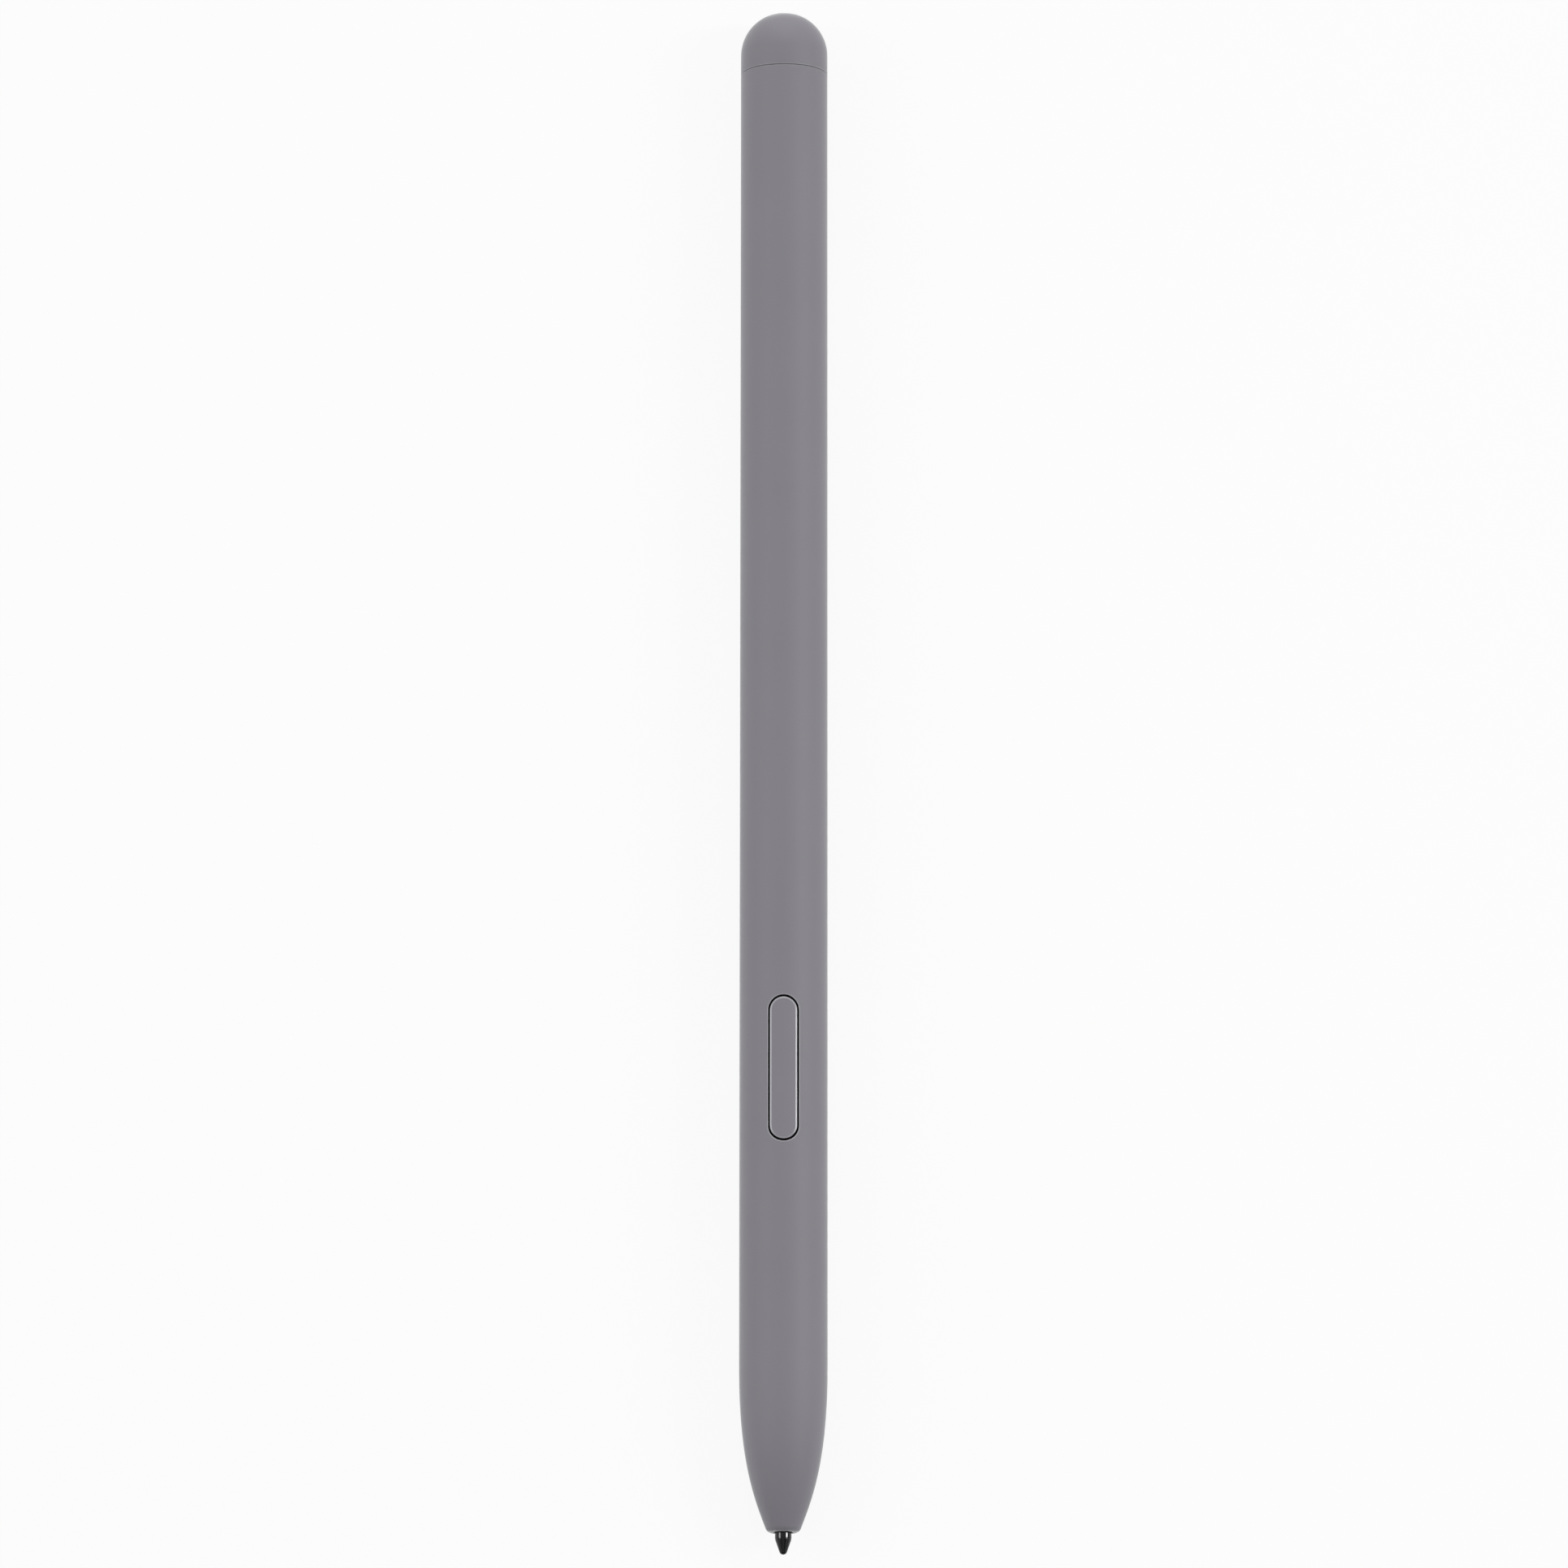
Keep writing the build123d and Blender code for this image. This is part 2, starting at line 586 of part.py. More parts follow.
def make_switch_dome():
    """Thin dished disc that snaps through under the plunger."""
    radius = SWITCH_POCKET_DIAMETER / 2 - SWITCH_CLEARANCE
    bow = (radius ** 2 + dome_rise ** 2) / (dome_rise * 2)
    low_edge = -pocket_floor
    high_edge = low_edge - DOME_THICKNESS
    under = RadiusArc((radius, low_edge), (0, low_edge - dome_rise), bow)
    over = RadiusArc((radius, high_edge), (0, -dome_crown), bow)
    outline = [under, over, Line(under @ 0, over @ 0), Line(under @ 1, over @ 1)]
    return Pos(0, 0, button_station) * revolve(make_face(outline), Axis.Y)


def make_switch_plunger():
    """Flanged stem between the snap dome and the key's boss."""
    foot = dome_crown + DOME_GAP
    plunger = front_post(PLUNGER_FLANGE_DIAMETER, foot, foot + PLUNGER_FLANGE_THICKNESS)
    return plunger + front_post(PLUNGER_DIAMETER, foot, plunger_top)


def carrier_bays():
    """Stations at which the carrier's equal bays start, and the length of one bay."""
    length = carrier_back - carrier_front
    count = max(1, int(length // MAGNET_PITCH))
    bay = length / count
    return [carrier_front + index * bay for index in range(count)], bay


def make_magnet_carrier():
    """Long ribbed spine with a magnet pocket under each bay."""
    body = d_bar(chassis_radius, chassis_flat, carrier_front, carrier_back)
    starts, bay = carrier_bays()
    channel_width = (chassis_radius - CARRIER_WALL) * 2
    channel_floor = MAGNET_THICKNESS + MAGNET_CLEARANCE + CARRIER_FLOOR - chassis_flat
    for start in starts:
        channel_end = start + bay - CARRIER_RIB / 2
        channel_start = start + CARRIER_RIB / 2
        body -= front_block(channel_width, channel_floor, barrel_radius, channel_start, channel_end)
        body -= magnet_pocket(start + (bay - MAGNET_LENGTH) / 2)
    return body


def make_bar_magnets():
    """One magnet in the chassis tail and one in each bay of the carrier."""
    starts, bay = carrier_bays()
    places = [start + (bay - MAGNET_LENGTH) / 2 for start in starts]
    width = pocket_width - MAGNET_CLEARANCE * 2
    magnets = []
    for start in [tray_back + CHASSIS_TAIL_MARGIN] + places:
        end = start + MAGNET_LENGTH
        magnet = front_block(width, -chassis_flat, MAGNET_THICKNESS - chassis_flat, start, end)
        magnets.append(chamfer(magnet.edges().filter_by(Axis.Z), MAGNET_EDGE))
    return Compound(children=magnets)


def make_end_cushion():
    """Foam pad between the carrier and the end cap."""
    return d_bar(chassis_radius, chassis_flat, carrier_back, spigot_front)


PIECES = {
    "barrel": make_barrel,
    "end_cap": make_end_cap,
    "side_button": make_side_button,
    "nib": make_nib,
    "core_packing": make_core_packing,
    "ferrite_core": make_ferrite_core,
    "coil_winding": make_coil_winding,
    "coil_leads": make_coil_leads,
    "core_cushion": make_core_cushion,
    "sensor_collar": make_sensor_collar,
    "nib_holder": make_nib_holder,
    "contact_rubber": make_contact_rubber,
    "sensor_spring": make_sensor_spring,
    "dielectric_disc": make_dielectric_disc,
    "rear_terminal": make_rear_terminal,
    "chassis": make_chassis,
    "circuit_board": make_circuit_board,
    "chip_capacitors": make_chip_capacitors,
    "switch_housing": make_switch_housing,
    "switch_cover": make_switch_cover,
    "switch_dome": make_switch_dome,
    "switch_plunger": make_switch_plunger,
    "magnet_carrier": make_magnet_carrier,
    "bar_magnets": make_bar_magnets,
    "end_cushion": make_end_cushion,
}

# Turns the upright pen over onto its back flat, with its middle at the origin and its cap at +Y
lay_down = Pos(0, -overall_length / 2, rest_flat) * Rot(-90, 0, 0)

os.makedirs("parts", exist_ok=True)
for name, make in PIECES.items():
    export_step(lay_down * make(), f"parts/{name}.step")
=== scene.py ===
import math

import bmesh
import bpy
from mathutils import Matrix, Quaternion, Vector


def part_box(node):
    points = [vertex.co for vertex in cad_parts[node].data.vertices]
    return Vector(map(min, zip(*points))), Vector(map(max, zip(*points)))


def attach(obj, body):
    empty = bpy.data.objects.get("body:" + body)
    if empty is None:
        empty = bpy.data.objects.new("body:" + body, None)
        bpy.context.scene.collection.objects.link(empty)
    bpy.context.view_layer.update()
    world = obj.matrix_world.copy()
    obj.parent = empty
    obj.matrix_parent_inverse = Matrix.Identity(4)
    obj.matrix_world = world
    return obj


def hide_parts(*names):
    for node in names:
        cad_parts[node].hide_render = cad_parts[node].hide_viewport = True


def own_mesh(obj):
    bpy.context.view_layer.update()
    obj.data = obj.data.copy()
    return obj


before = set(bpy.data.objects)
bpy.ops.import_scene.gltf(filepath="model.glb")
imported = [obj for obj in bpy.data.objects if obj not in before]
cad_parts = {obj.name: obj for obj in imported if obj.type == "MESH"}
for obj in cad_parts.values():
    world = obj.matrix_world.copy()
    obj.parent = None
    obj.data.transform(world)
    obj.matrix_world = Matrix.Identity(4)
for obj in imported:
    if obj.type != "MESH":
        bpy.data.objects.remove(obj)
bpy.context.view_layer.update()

# A slim stylus pen that lies on its back flat with the side button up and the nib towards -Y.
# Lengths are in millimetres. A station is measured along the pen from the nib's tip, a level is
# measured up from the pen's axis.

MM = 0.001

# Barrel
BARREL_RADIUS = 4.0
BARREL_WALL = 0.8
REST_FLAT = 3.55
RIM_STATION = 2.0
SHOULDER_STATION = 17.0
SEAM_STATION = 138.04
NOSE_RIM_RADIUS = 1.45
NOSE_RIM_HALF_ANGLE = math.radians(20.8)
NOSE_SHOULDER_SWEEP = 8.5
NOSE_RIM_SWEEP = 3.2
NOSE_LIP_RADIUS = 0.6
NOSE_HOLLOW_STEPS = 2
NIB_HOLE_RADIUS = 0.88
NIB_HOLE_EDGE = 0.06
SEAM_EDGE = 0.08
SEAM_GAP = 0.065

# End cap
DOME_STATION = 139.9
SPIGOT_FRONT = 133.54
SPIGOT_CLEARANCE = 0.04
SPIGOT_WALL = 0.7
GLUE_GROOVE_WIDTH = 1.2
GLUE_GROOVE_DEPTH = 0.2

# Side button and its slot
BUTTON_STATION = 43.86
BUTTON_LENGTH = 13.05
BUTTON_WIDTH = 2.47
BUTTON_SIDE_GAP = 0.15
BUTTON_END_GAP = 0.2
BUTTON_PROUD = 0.06
BUTTON_BEVEL = 0.15
BUTTON_BEVEL_DROP = 0.06
BUTTON_EDGE = 0.03
SLOT_EDGE = 0.08
PAINTED_SHADE_INSET = 0.03
KEY_UNDERSIDE = 2.72
TONGUE_TOP = 3.07
TONGUE_HALF_WIDTH = 0.7
TONGUE_REACH = 7.425
BOSS_RADIUS = 0.8
BOSS_END = 2.12

# Nib
NIB_RADIUS = 0.75
NIB_BALL_RADIUS = 0.36
NIB_CONE_LENGTH = 1.41
NIB_GROOVE_DEPTH = 0.05
NIB_GROOVE_WIDTH = 0.08
NIB_TIP_POLISH = 0.6
NIB_HEAD_LENGTH = 3.4
NIB_TAPER_LENGTH = 0.5
NIB_STEM_RADIUS = 0.5
NIB_STEM_CHAMFER = 0.15
NIB_STEM_END = 23.54

# Spring of the pressure sensor
SPRING_RADIUS = 1.697
SPRING_WIRE_RADIUS = 0.1
SPRING_TURNS = 3
SPRING_FRONT = 24.09
SPRING_BACK = 26.03

# Snap dome of the switch
SNAP_RADIUS = 1.05
SNAP_RISE = 0.3
SNAP_THICKNESS = 0.06
SNAP_FOOT = 1.0225

# Rubber puck on the nib holder
PUCK_RADIUS = 1.397
PUCK_FRONT = 25.18
PUCK_BACK = 25.78
PUCK_CROWN = 0.12
PUCK_EDGE = 0.06

# Foam pad in front of the end cap
PAD_RADIUS = 3.12
PAD_FLAT = 2.67
PAD_FRONT = 132.74
PAD_BACK = 133.54
PAD_BULGE = 0.15

# Chip capacitors: their row, their specks and their surface
CHIP_LENGTH = 1.0
CHIP_PITCH = 1.5
CHIP_END = 0.22
CHIP_SPECK = 0.08
CHIP_ROUGH = (0.35, 0.55)
CHIP_IOR = 1.7

# Turns of the coil. The wire is about 0.06 mm and its turns too fine to show, so they are drawn 0.15 mm
# apart. The first roughness is for the seam between two turns, the second for the wire.
TURN_PITCH = 0.15
TURN_RELIEF = 0.03
TURN_STRENGTH = 0.8
TURN_WANDER = 0.4
TURN_WANDER_DETAIL = 1.0
TURN_ROUGH = (0.45, 0.25)

# Glass cloth of the board, whose threads lie about 0.4 mm apart. The second roughness is for a thread.
THREAD_PITCH = 0.4
THREAD_RELIEF = 0.01
THREAD_STRENGTH = 0.4
THREAD_WANDER = 0.3
THREAD_ROUGH = (0.6, 0.5)
EPOXY_IOR = 1.55

# How finely the skins are divided
ROUND_COLUMNS = 160
WINDOW_COLUMNS = 16
FLAT_SHARES = (0.97, 0.6, 0.2, -0.2, -0.6, -0.97)
LEAST_FLAT_ANGLE = math.radians(3)
NOSE_ROWS = 48
DOME_ROWS = 28
LIP_ROWS = 10
LIP_POLISH_AND_HIGHLIGHT_ROWS = 3
EDGE_ROWS = 5
WINDOW_MARGIN = 0.75
WINDOW_END_ROWS = 12
WINDOW_SIDE_ROWS = 20
SLOT_SHARES = (0.4, 0.75, 0.96)
TURNED_COLUMNS = 96
NIB_BALL_ROWS = 16
NIB_CONE_SHARES = (0.05, 0.95, 1)
KEY_END_STEPS = 8
KEY_SIDE_STEPS = 24
KEY_TOP_SHARES = (0.02, 0.25, 0.5, 0.75, 0.98, 1)
BEVEL_SHARES = (0.08, 0.92)
SPRING_STEPS = 144
SPRING_SIDES = 12
SNAP_COLUMNS = 48
SNAP_ROWS = 8
PUCK_ROWS = 6
PAD_ROWS = 12
SHARP_ANGLE = math.radians(40)
WELD_DISTANCE = 0.0001

# A wave texture of scale 1 repeats after this length, and most of a noise texture lies in this range.
WAVE_PERIOD = math.pi / 10
NOISE_RANGE = (0.3, 0.7)

# What the grained finishes share. Rolling draws the grain out along the pen.
PATCH_DETAIL = 3.0
GRAIN_DETAIL = 2.0
GRAIN_STRENGTH = 0.5
ROLLED = (1, 0.08, 1)
SHEEN_ROUGHNESS = 0.3

# Sockets of a mix node, for colours and for plain values
COLOUR_A = 6
COLOUR_B = 7
COLOUR_OUT = 2
VALUE_A = 2
VALUE_B = 3
VALUE_OUT = 0

tip_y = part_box("nib")[0].y
bore_radius = BARREL_RADIUS - BARREL_WALL
barrel_end = SEAM_STATION - SEAM_GAP / 2
key_straight = (BUTTON_LENGTH - BUTTON_WIDTH) / 2
key_half_width = BUTTON_WIDTH / 2
slot_half_width = key_half_width + BUTTON_SIDE_GAP
slot_straight = key_straight + BUTTON_END_GAP - BUTTON_SIDE_GAP


def in_row(point):
    """Turns a side offset, a level and a station into a point of the frame, in metres."""
    side, level, station = point
    return Vector((side * MM, tip_y + station * MM, (REST_FLAT + level) * MM))


def new_object(name, data):
    """An object of that mesh, lamp or camera, linked into the scene."""
    made = bpy.data.objects.new(name, data)
    bpy.context.scene.collection.objects.link(made)
    return made


# Finishes


def hex_colour(code):
    """Linear colour of an sRGB hex value."""
    parts = [int(code[i:i + 2], 16) / 255 for i in (1, 3, 5)]
    linear = [c / 12.92 if c <= 0.04045 else ((c + 0.055) / 1.055) ** 2.4 for c in parts]
    return (*linear, 1.0)


def add_node(tree, kind, settings=None, links=None):
    """Adds a node, sets its sockets and options, and links its sockets to other nodes' outputs."""
    made = tree.nodes.new(kind)
    for name, value in (settings or {}).items():
        if isinstance(name, int) or name in made.inputs:
            made.inputs[name].default_value = value
        else:
            setattr(made, name, value)
    for name, source in (links or {}).items():
        tree.links.new(source, made.inputs[name])
    return made


def new_finish(name):
    """An empty material and its node tree."""
    finish = bpy.data.materials.new(name)
    finish.use_nodes = True
    finish.node_tree.nodes.clear()
    return finish, finish.node_tree


def close_finish(tree, shader):
    """Ends a material's tree in its output."""
    add_node(tree, "ShaderNodeOutputMaterial", links={"Surface": shader.outputs["BSDF"]})


def patches_and_grain(tree, place, tones, patch, grain, rough):
    """A colour that drifts between two near tones in patches, a grain, and the roughness it gives."""
    drift = add_node(
        tree, "ShaderNodeTexNoise", {"Scale": 1 / (patch * MM), "Detail": PATCH_DETAIL}, {"Vector": place}
    ).outputs["Fac"]
    pits = add_node(
        tree, "ShaderNodeTexNoise", {"Scale": 1 / (grain * MM), "Detail": GRAIN_DETAIL}, {"Vector": place}
    ).outputs["Fac"]
    colour = add_node(
        tree,
        "ShaderNodeMix",
        {"data_type": "RGBA", COLOUR_A: hex_colour(tones[0]), COLOUR_B: hex_colour(tones[1])},
        {"Factor": drift},
    ).outputs[COLOUR_OUT]
    satin = add_node(
        tree,
        "ShaderNodeMapRange",
        {"From Min": NOISE_RANGE[0], "From Max": NOISE_RANGE[1], "To Min": rough[0], "To Max": rough[1]},
        {"Value": pits},
    ).outputs["Result"]
    return colour, pits, satin


def grained(name, tones, patch, grain, relief, rough, ior=1.5, metallic=0.0, stretch=(1, 1, 1)):
    """A finish whose colour drifts between two near tones in patches and whose surface has a grain."""
    finish, tree = new_finish(name)
    place = add_node(tree, "ShaderNodeTexCoord").outputs["Object"]
    run = add_node(
        tree, "ShaderNodeMapping", {"Scale": stretch}, {"Vector": place}
    ).outputs["Vector"]
    colour, pits, satin = patches_and_grain(tree, run, tones, patch, grain, rough)
    bump = add_node(
        tree, "ShaderNodeBump", {"Strength": GRAIN_STRENGTH, "Distance": relief * MM}, {"Height": pits}
    ).outputs["Normal"]
    shader = add_node(
        tree,
        "ShaderNodeBsdfPrincipled",
        {"IOR": ior, "Metallic": metallic},
        {"Base Color": colour, "Roughness": satin, "Normal": bump},
    )
    close_finish(tree, shader)
    return finish


def polished_and_highlighted(name, tones, painted_highlight_tone, patch, grain, relief, rough, polish, ior, sheen):
    """A finish that is satin all over, and smoother and painted another tone as a highlight at the polished
    edges.
    """
    finish, tree = new_finish(name)
    place = add_node(tree, "ShaderNodeTexCoord").outputs["Object"]
    polish_and_highlight = add_node(tree, "ShaderNodeAttribute", {"attribute_name": "polish_and_painted_highlight"}).outputs["Fac"]
    colour, pits, satin = patches_and_grain(tree, place, tones, patch, grain, rough)
    # Painted highlight: where polished, the colour is mixed towards the paler tone.
    colour = add_node(
        tree,
        "ShaderNodeMix",
        {"data_type": "RGBA", COLOUR_B: hex_colour(painted_highlight_tone)},
        {"Factor": polish_and_highlight, COLOUR_A: colour},
    ).outputs[COLOUR_OUT]
    gloss = add_node(
        tree, "ShaderNodeMix", {VALUE_B: polish}, {"Factor": polish_and_highlight, VALUE_A: satin}
    ).outputs[VALUE_OUT]
    depth = add_node(
        tree, "ShaderNodeMapRange", {"To Min": GRAIN_STRENGTH, "To Max": 0.0}, {"Value": polish_and_highlight}
    ).outputs["Result"]
    bump = add_node(
        tree, "ShaderNodeBump", {"Distance": relief * MM}, {"Height": pits, "Strength": depth}
    ).outputs["Normal"]
    shader = add_node(
        tree,
        "ShaderNodeBsdfPrincipled",
        {"IOR": ior, "Sheen Weight": sheen, "Sheen Roughness": SHEEN_ROUGHNESS},
        {"Base Color": colour, "Roughness": gloss, "Normal": bump},
    )
    close_finish(tree, shader)
    return finish


# Polycarbonate sprayed with a satin lacquer: grey with a breath of mauve, pale at a glancing look, and
# smoother along its edges and its lip, where a paler tone is painted on as a highlight. The spray's grain
# is about 0.04 mm and too fine to show, so it is drawn at 0.12 mm.
satin_lacquer = polished_and_highlighted(
    "satin_lacquered_polycarbonate",
    ("#8A878F", "#86848B"),
    painted_highlight_tone="#AAA8AF",
    patch=7.0,
    grain=0.12,
    relief=0.005,
    rough=(0.56, 0.62),
    polish=0.3,
    ior=1.58,
    sheen=1.0,
)

# The same polycarbonate, smooth and black on the walls of the slot, the key and the bore: painted shade.
gap_shade_black = grained(
    "painted_shade_black_polycarbonate",
    ("#08080A", "#0B0B0D"),
    patch=1.5,
    grain=0.1,
    relief=0.002,
    rough=(0.24, 0.3),
    ior=1.58,
)

# Acetal turned to a point: black, polished on the shank, with a ground cone and a burnished tip.
turned_acetal = polished_and_highlighted(
    "turned_black_acetal",
    ("#060608", "#09090B"),
    painted_highlight_tone="#060608",
    patch=0.4,
    grain=0.05,
    relief=0.001,
    rough=(0.26, 0.32),
    polish=0.07,
    ior=1.48,
    sheen=0.0,
)

# Silicone rubber moulded soft: a dull dark grey with a dry, powdery skin.
moulded_silicone = grained(
    "moulded_silicone_rubber",
    ("#4A4A4C", "#404042"),
    patch=1.5,
    grain=0.1,
    relief=0.004,
    rough=(0.6, 0.7),
    ior=1.41,
)

# Rubber filled with carbon and pressed: black and slightly speckled.
carbon_rubber = grained(
    "pressed_carbon_rubber",
    ("#1A1A1B", "#242425"),
    patch=0.5,
    grain=0.08,
    relief=0.006,
    rough=(0.65, 0.8),
    ior=1.5,
)

# Ferrite powder pressed and sintered: a dark brown-grey stone with fine pores.
sintered_ferrite = grained(
    "sintered_ferrite",
    ("#2A2827", "#383431"),
    patch=0.6,
    grain=0.07,
    relief=0.008,
    rough=(0.5, 0.68),
    ior=2.2,
)

# Copper wire drawn and enamelled: orange-brown under a clear glossy varnish.
drawn_copper = grained(
    "drawn_enamelled_copper",
    ("#B5673C", "#A4552D"),
    patch=0.8,
    grain=0.06,
    relief=0.002,
    rough=(0.22, 0.34),
    metallic=1.0,
)

# Unpigmented acetal, moulded: a waxy ivory with faint flow marks.
ivory_acetal = grained(
    "moulded_ivory_acetal",
    ("#D8D4C6", "#CFCABA"),
    patch=1.8,
    grain=0.1,
    relief=0.003,
    rough=(0.38, 0.48),
    ior=1.48,
)

# Spring wire drawn through a die: bright grey, a little clouded by the die.
drawn_spring_wire = grained(
    "drawn_spring_steel",
    ("#B9BABC", "#9C9DA0"),
    patch=0.5,
    grain=0.05,
    relief=0.002,
    rough=(0.24, 0.36),
    metallic=1.0,
)

# Steel strip stamped and blackened: a dark oxide with rolling lines along the pen.
blackened_steel = grained(
    "stamped_blackened_steel",
    ("#1B1B1C", "#242426"),
    patch=0.8,
    grain=0.05,
    relief=0.002,
    rough=(0.45, 0.6),
    metallic=1.0,
    stretch=ROLLED,
)

# Ceramic fired for capacitors: a clean off-white, smooth and hard.
fired_ceramic = grained(
    "fired_white_ceramic",
    ("#E4E1D8", "#D9D5CA"),
    patch=0.7,
    grain=0.06,
    relief=0.002,
    rough=(0.3, 0.42),
    ior=1.76,
)

# Brass strip rolled and stamped: yellow with fine rolling lines.
rolled_brass = grained(
    "rolled_brass",
    ("#C9A24E", "#B78F3F"),
    patch=0.9,
    grain=0.05,
    relief=0.002,
    rough=(0.26, 0.4),
    metallic=1.0,
    stretch=ROLLED,
)

# Nylon filled with short glass and moulded: near black, a little cloudy where the fibres surface.
glass_nylon = grained(
    "moulded_glass_nylon",
    ("#19191A", "#242425"),
    patch=0.9,
    grain=0.12,
    relief=0.005,
    rough=(0.5, 0.66),
    ior=1.53,
)

# Heat-proof switch plastic, moulded: plain black with a low sheen.
switch_black = grained(
    "moulded_switch_plastic",
    ("#161617", "#1D1D1E"),
    patch=0.6,
    grain=0.08,
    relief=0.003,
    rough=(0.42, 0.52),
    ior=1.6,
)

# Sintered magnet, nickel plated: bright and faintly rippled by the plating.
plated_magnet = grained(
    "nickel_plated_magnet",
    ("#BDBBB5", "#A9A7A1"),
    patch=2.5,
    grain=0.4,
    relief=0.004,
    rough=(0.2, 0.3),
    metallic=1.0,
)

# Polyurethane foam, cut from a block: charcoal with open cells about 0.3 mm across.
cut_foam = grained(
    "cut_polyurethane_foam",
    ("#3A3A3C", "#1E1E20"),
    patch=0.3,
    grain=0.3,
    relief=0.12,
    rough=(0.85, 0.95),
    ior=1.45,
)


def wound_copper_finish():
    """Enamelled wire laid turn by turn: bright copper lines with painted shade in the seams between the
    turns.
    """
    finish, tree = new_finish("wound_enamelled_copper")
    place = add_node(tree, "ShaderNodeTexCoord").outputs["Object"]
    turns = add_node(
        tree,
        "ShaderNodeTexWave",
        {
            "bands_direction": "Y",
            "Scale": WAVE_PERIOD / (TURN_PITCH * MM),
            "Distortion": TURN_WANDER,
            "Detail": TURN_WANDER_DETAIL,
        },
        {"Vector": place},
    ).outputs["Fac"]
    # The darker tone in the seams between the turns is painted shade.
    colour = add_node(
        tree,
        "ShaderNodeMix",
        {"data_type": "RGBA", COLOUR_A: hex_colour("#7A3D1E"), COLOUR_B: hex_colour("#BE6E42")},
        {"Factor": turns},
    ).outputs[COLOUR_OUT]
    gloss = add_node(
        tree, "ShaderNodeMapRange", {"To Min": TURN_ROUGH[0], "To Max": TURN_ROUGH[1]}, {"Value": turns}
    ).outputs["Result"]
    bump = add_node(
        tree, "ShaderNodeBump", {"Strength": TURN_STRENGTH, "Distance": TURN_RELIEF * MM}, {"Height": turns}
    ).outputs["Normal"]
    shader = add_node(
        tree,
        "ShaderNodeBsdfPrincipled",
        {"Metallic": 1.0},
        {"Base Color": colour, "Roughness": gloss, "Normal": bump},
    )
    close_finish(tree, shader)
    return finish


def board_finish():
    """Glass cloth in epoxy under a dark green solder lacquer, darkened near black as painted shade: the
    weave shows as a faint quilting.
    """
    finish, tree = new_finish("lacquered_glass_epoxy")
    place = add_node(tree, "ShaderNodeTexCoord").outputs["Object"]
    threads = []
    for direction in ("X", "Y"):
        settings = {
            "bands_direction": direction,
            "Scale": WAVE_PERIOD / (THREAD_PITCH * MM),
            "Distortion": THREAD_WANDER,
        }
        threads.append(add_node(tree, "ShaderNodeTexWave", settings, {"Vector": place}).outputs["Fac"])
    cloth = add_node(
        tree, "ShaderNodeMath", {"operation": "MAXIMUM"}, {0: threads[0], 1: threads[1]}
    ).outputs[0]
    # Partly the lacquer's own dark green, partly painted shade that keeps the board dark behind the
    # button's gap.
    colour = add_node(
        tree,
        "ShaderNodeMix",
        {"data_type": "RGBA", COLOUR_A: hex_colour("#06100B"), COLOUR_B: hex_colour("#0A180F")},
        {"Factor": cloth},
    ).outputs[COLOUR_OUT]
    gloss = add_node(
        tree, "ShaderNodeMapRange", {"To Min": THREAD_ROUGH[0], "To Max": THREAD_ROUGH[1]}, {"Value": cloth}
    ).outputs["Result"]
    bump = add_node(
        tree,
        "ShaderNodeBump",
        {"Strength": THREAD_STRENGTH, "Distance": THREAD_RELIEF * MM},
        {"Height": cloth},
    ).outputs["Normal"]
    shader = add_node(
        tree,
        "ShaderNodeBsdfPrincipled",
        {"IOR": EPOXY_IOR},
        {"Base Color": colour, "Roughness": gloss, "Normal": bump},
    )
    close_finish(tree, shader)
    return finish


def chip_finish():
    """Fired brown ceramic chips with tinned ends, told apart by where they lie in their row."""
    finish, tree = new_finish("tinned_ceramic_chip")
    place = add_node(tree, "ShaderNodeTexCoord").outputs["Object"]
    along = add_node(tree, "ShaderNodeSeparateXYZ", links={"Vector": place}).outputs["Y"]
    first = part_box("chip_capacitors")[0].y
    step = add_node(
        tree,
        "ShaderNodeMapRange",
        {"clamp": False, "From Min": first, "From Max": first + CHIP_PITCH * MM},
        {"Value": along},
    ).outputs["Result"]
    share = add_node(tree, "ShaderNodeMath", {"operation": "FRACT"}, {0: step}).outputs[0]
    ceramic_from = CHIP_END / CHIP_PITCH
    ceramic_to = (CHIP_LENGTH - CHIP_END) / CHIP_PITCH
    middle = add_node(
        tree,
        "ShaderNodeMath",
        {"operation": "COMPARE", 1: (ceramic_from + ceramic_to) / 2, 2: (ceramic_to - ceramic_from) / 2},
        {0: share},
    ).outputs[0]
    specks = add_node(
        tree,
        "ShaderNodeTexNoise",
        {"Scale": 1 / (CHIP_SPECK * MM), "Detail": GRAIN_DETAIL},
        {"Vector": place},
    ).outputs["Fac"]
    ceramic = add_node(
        tree,
        "ShaderNodeMix",
        {"data_type": "RGBA", COLOUR_A: hex_colour("#5E4630"), COLOUR_B: hex_colour("#6E5439")},
        {"Factor": specks},
    ).outputs[COLOUR_OUT]
    colour = add_node(
        tree,
        "ShaderNodeMix",
        {"data_type": "RGBA", COLOUR_A: hex_colour("#B4B5B6")},
        {"Factor": middle, COLOUR_B: ceramic},
    ).outputs[COLOUR_OUT]
    metal = add_node(
        tree, "ShaderNodeMapRange", {"To Min": 1.0, "To Max": 0.0}, {"Value": middle}
    ).outputs["Result"]
    gloss = add_node(
        tree, "ShaderNodeMapRange", {"To Min": CHIP_ROUGH[0], "To Max": CHIP_ROUGH[1]}, {"Value": specks}
    ).outputs["Result"]
    shader = add_node(
        tree,
        "ShaderNodeBsdfPrincipled",
        {"IOR": CHIP_IOR},
        {"Base Color": colour, "Roughness": gloss, "Metallic": metal},
    )
    close_finish(tree, shader)
    return finish


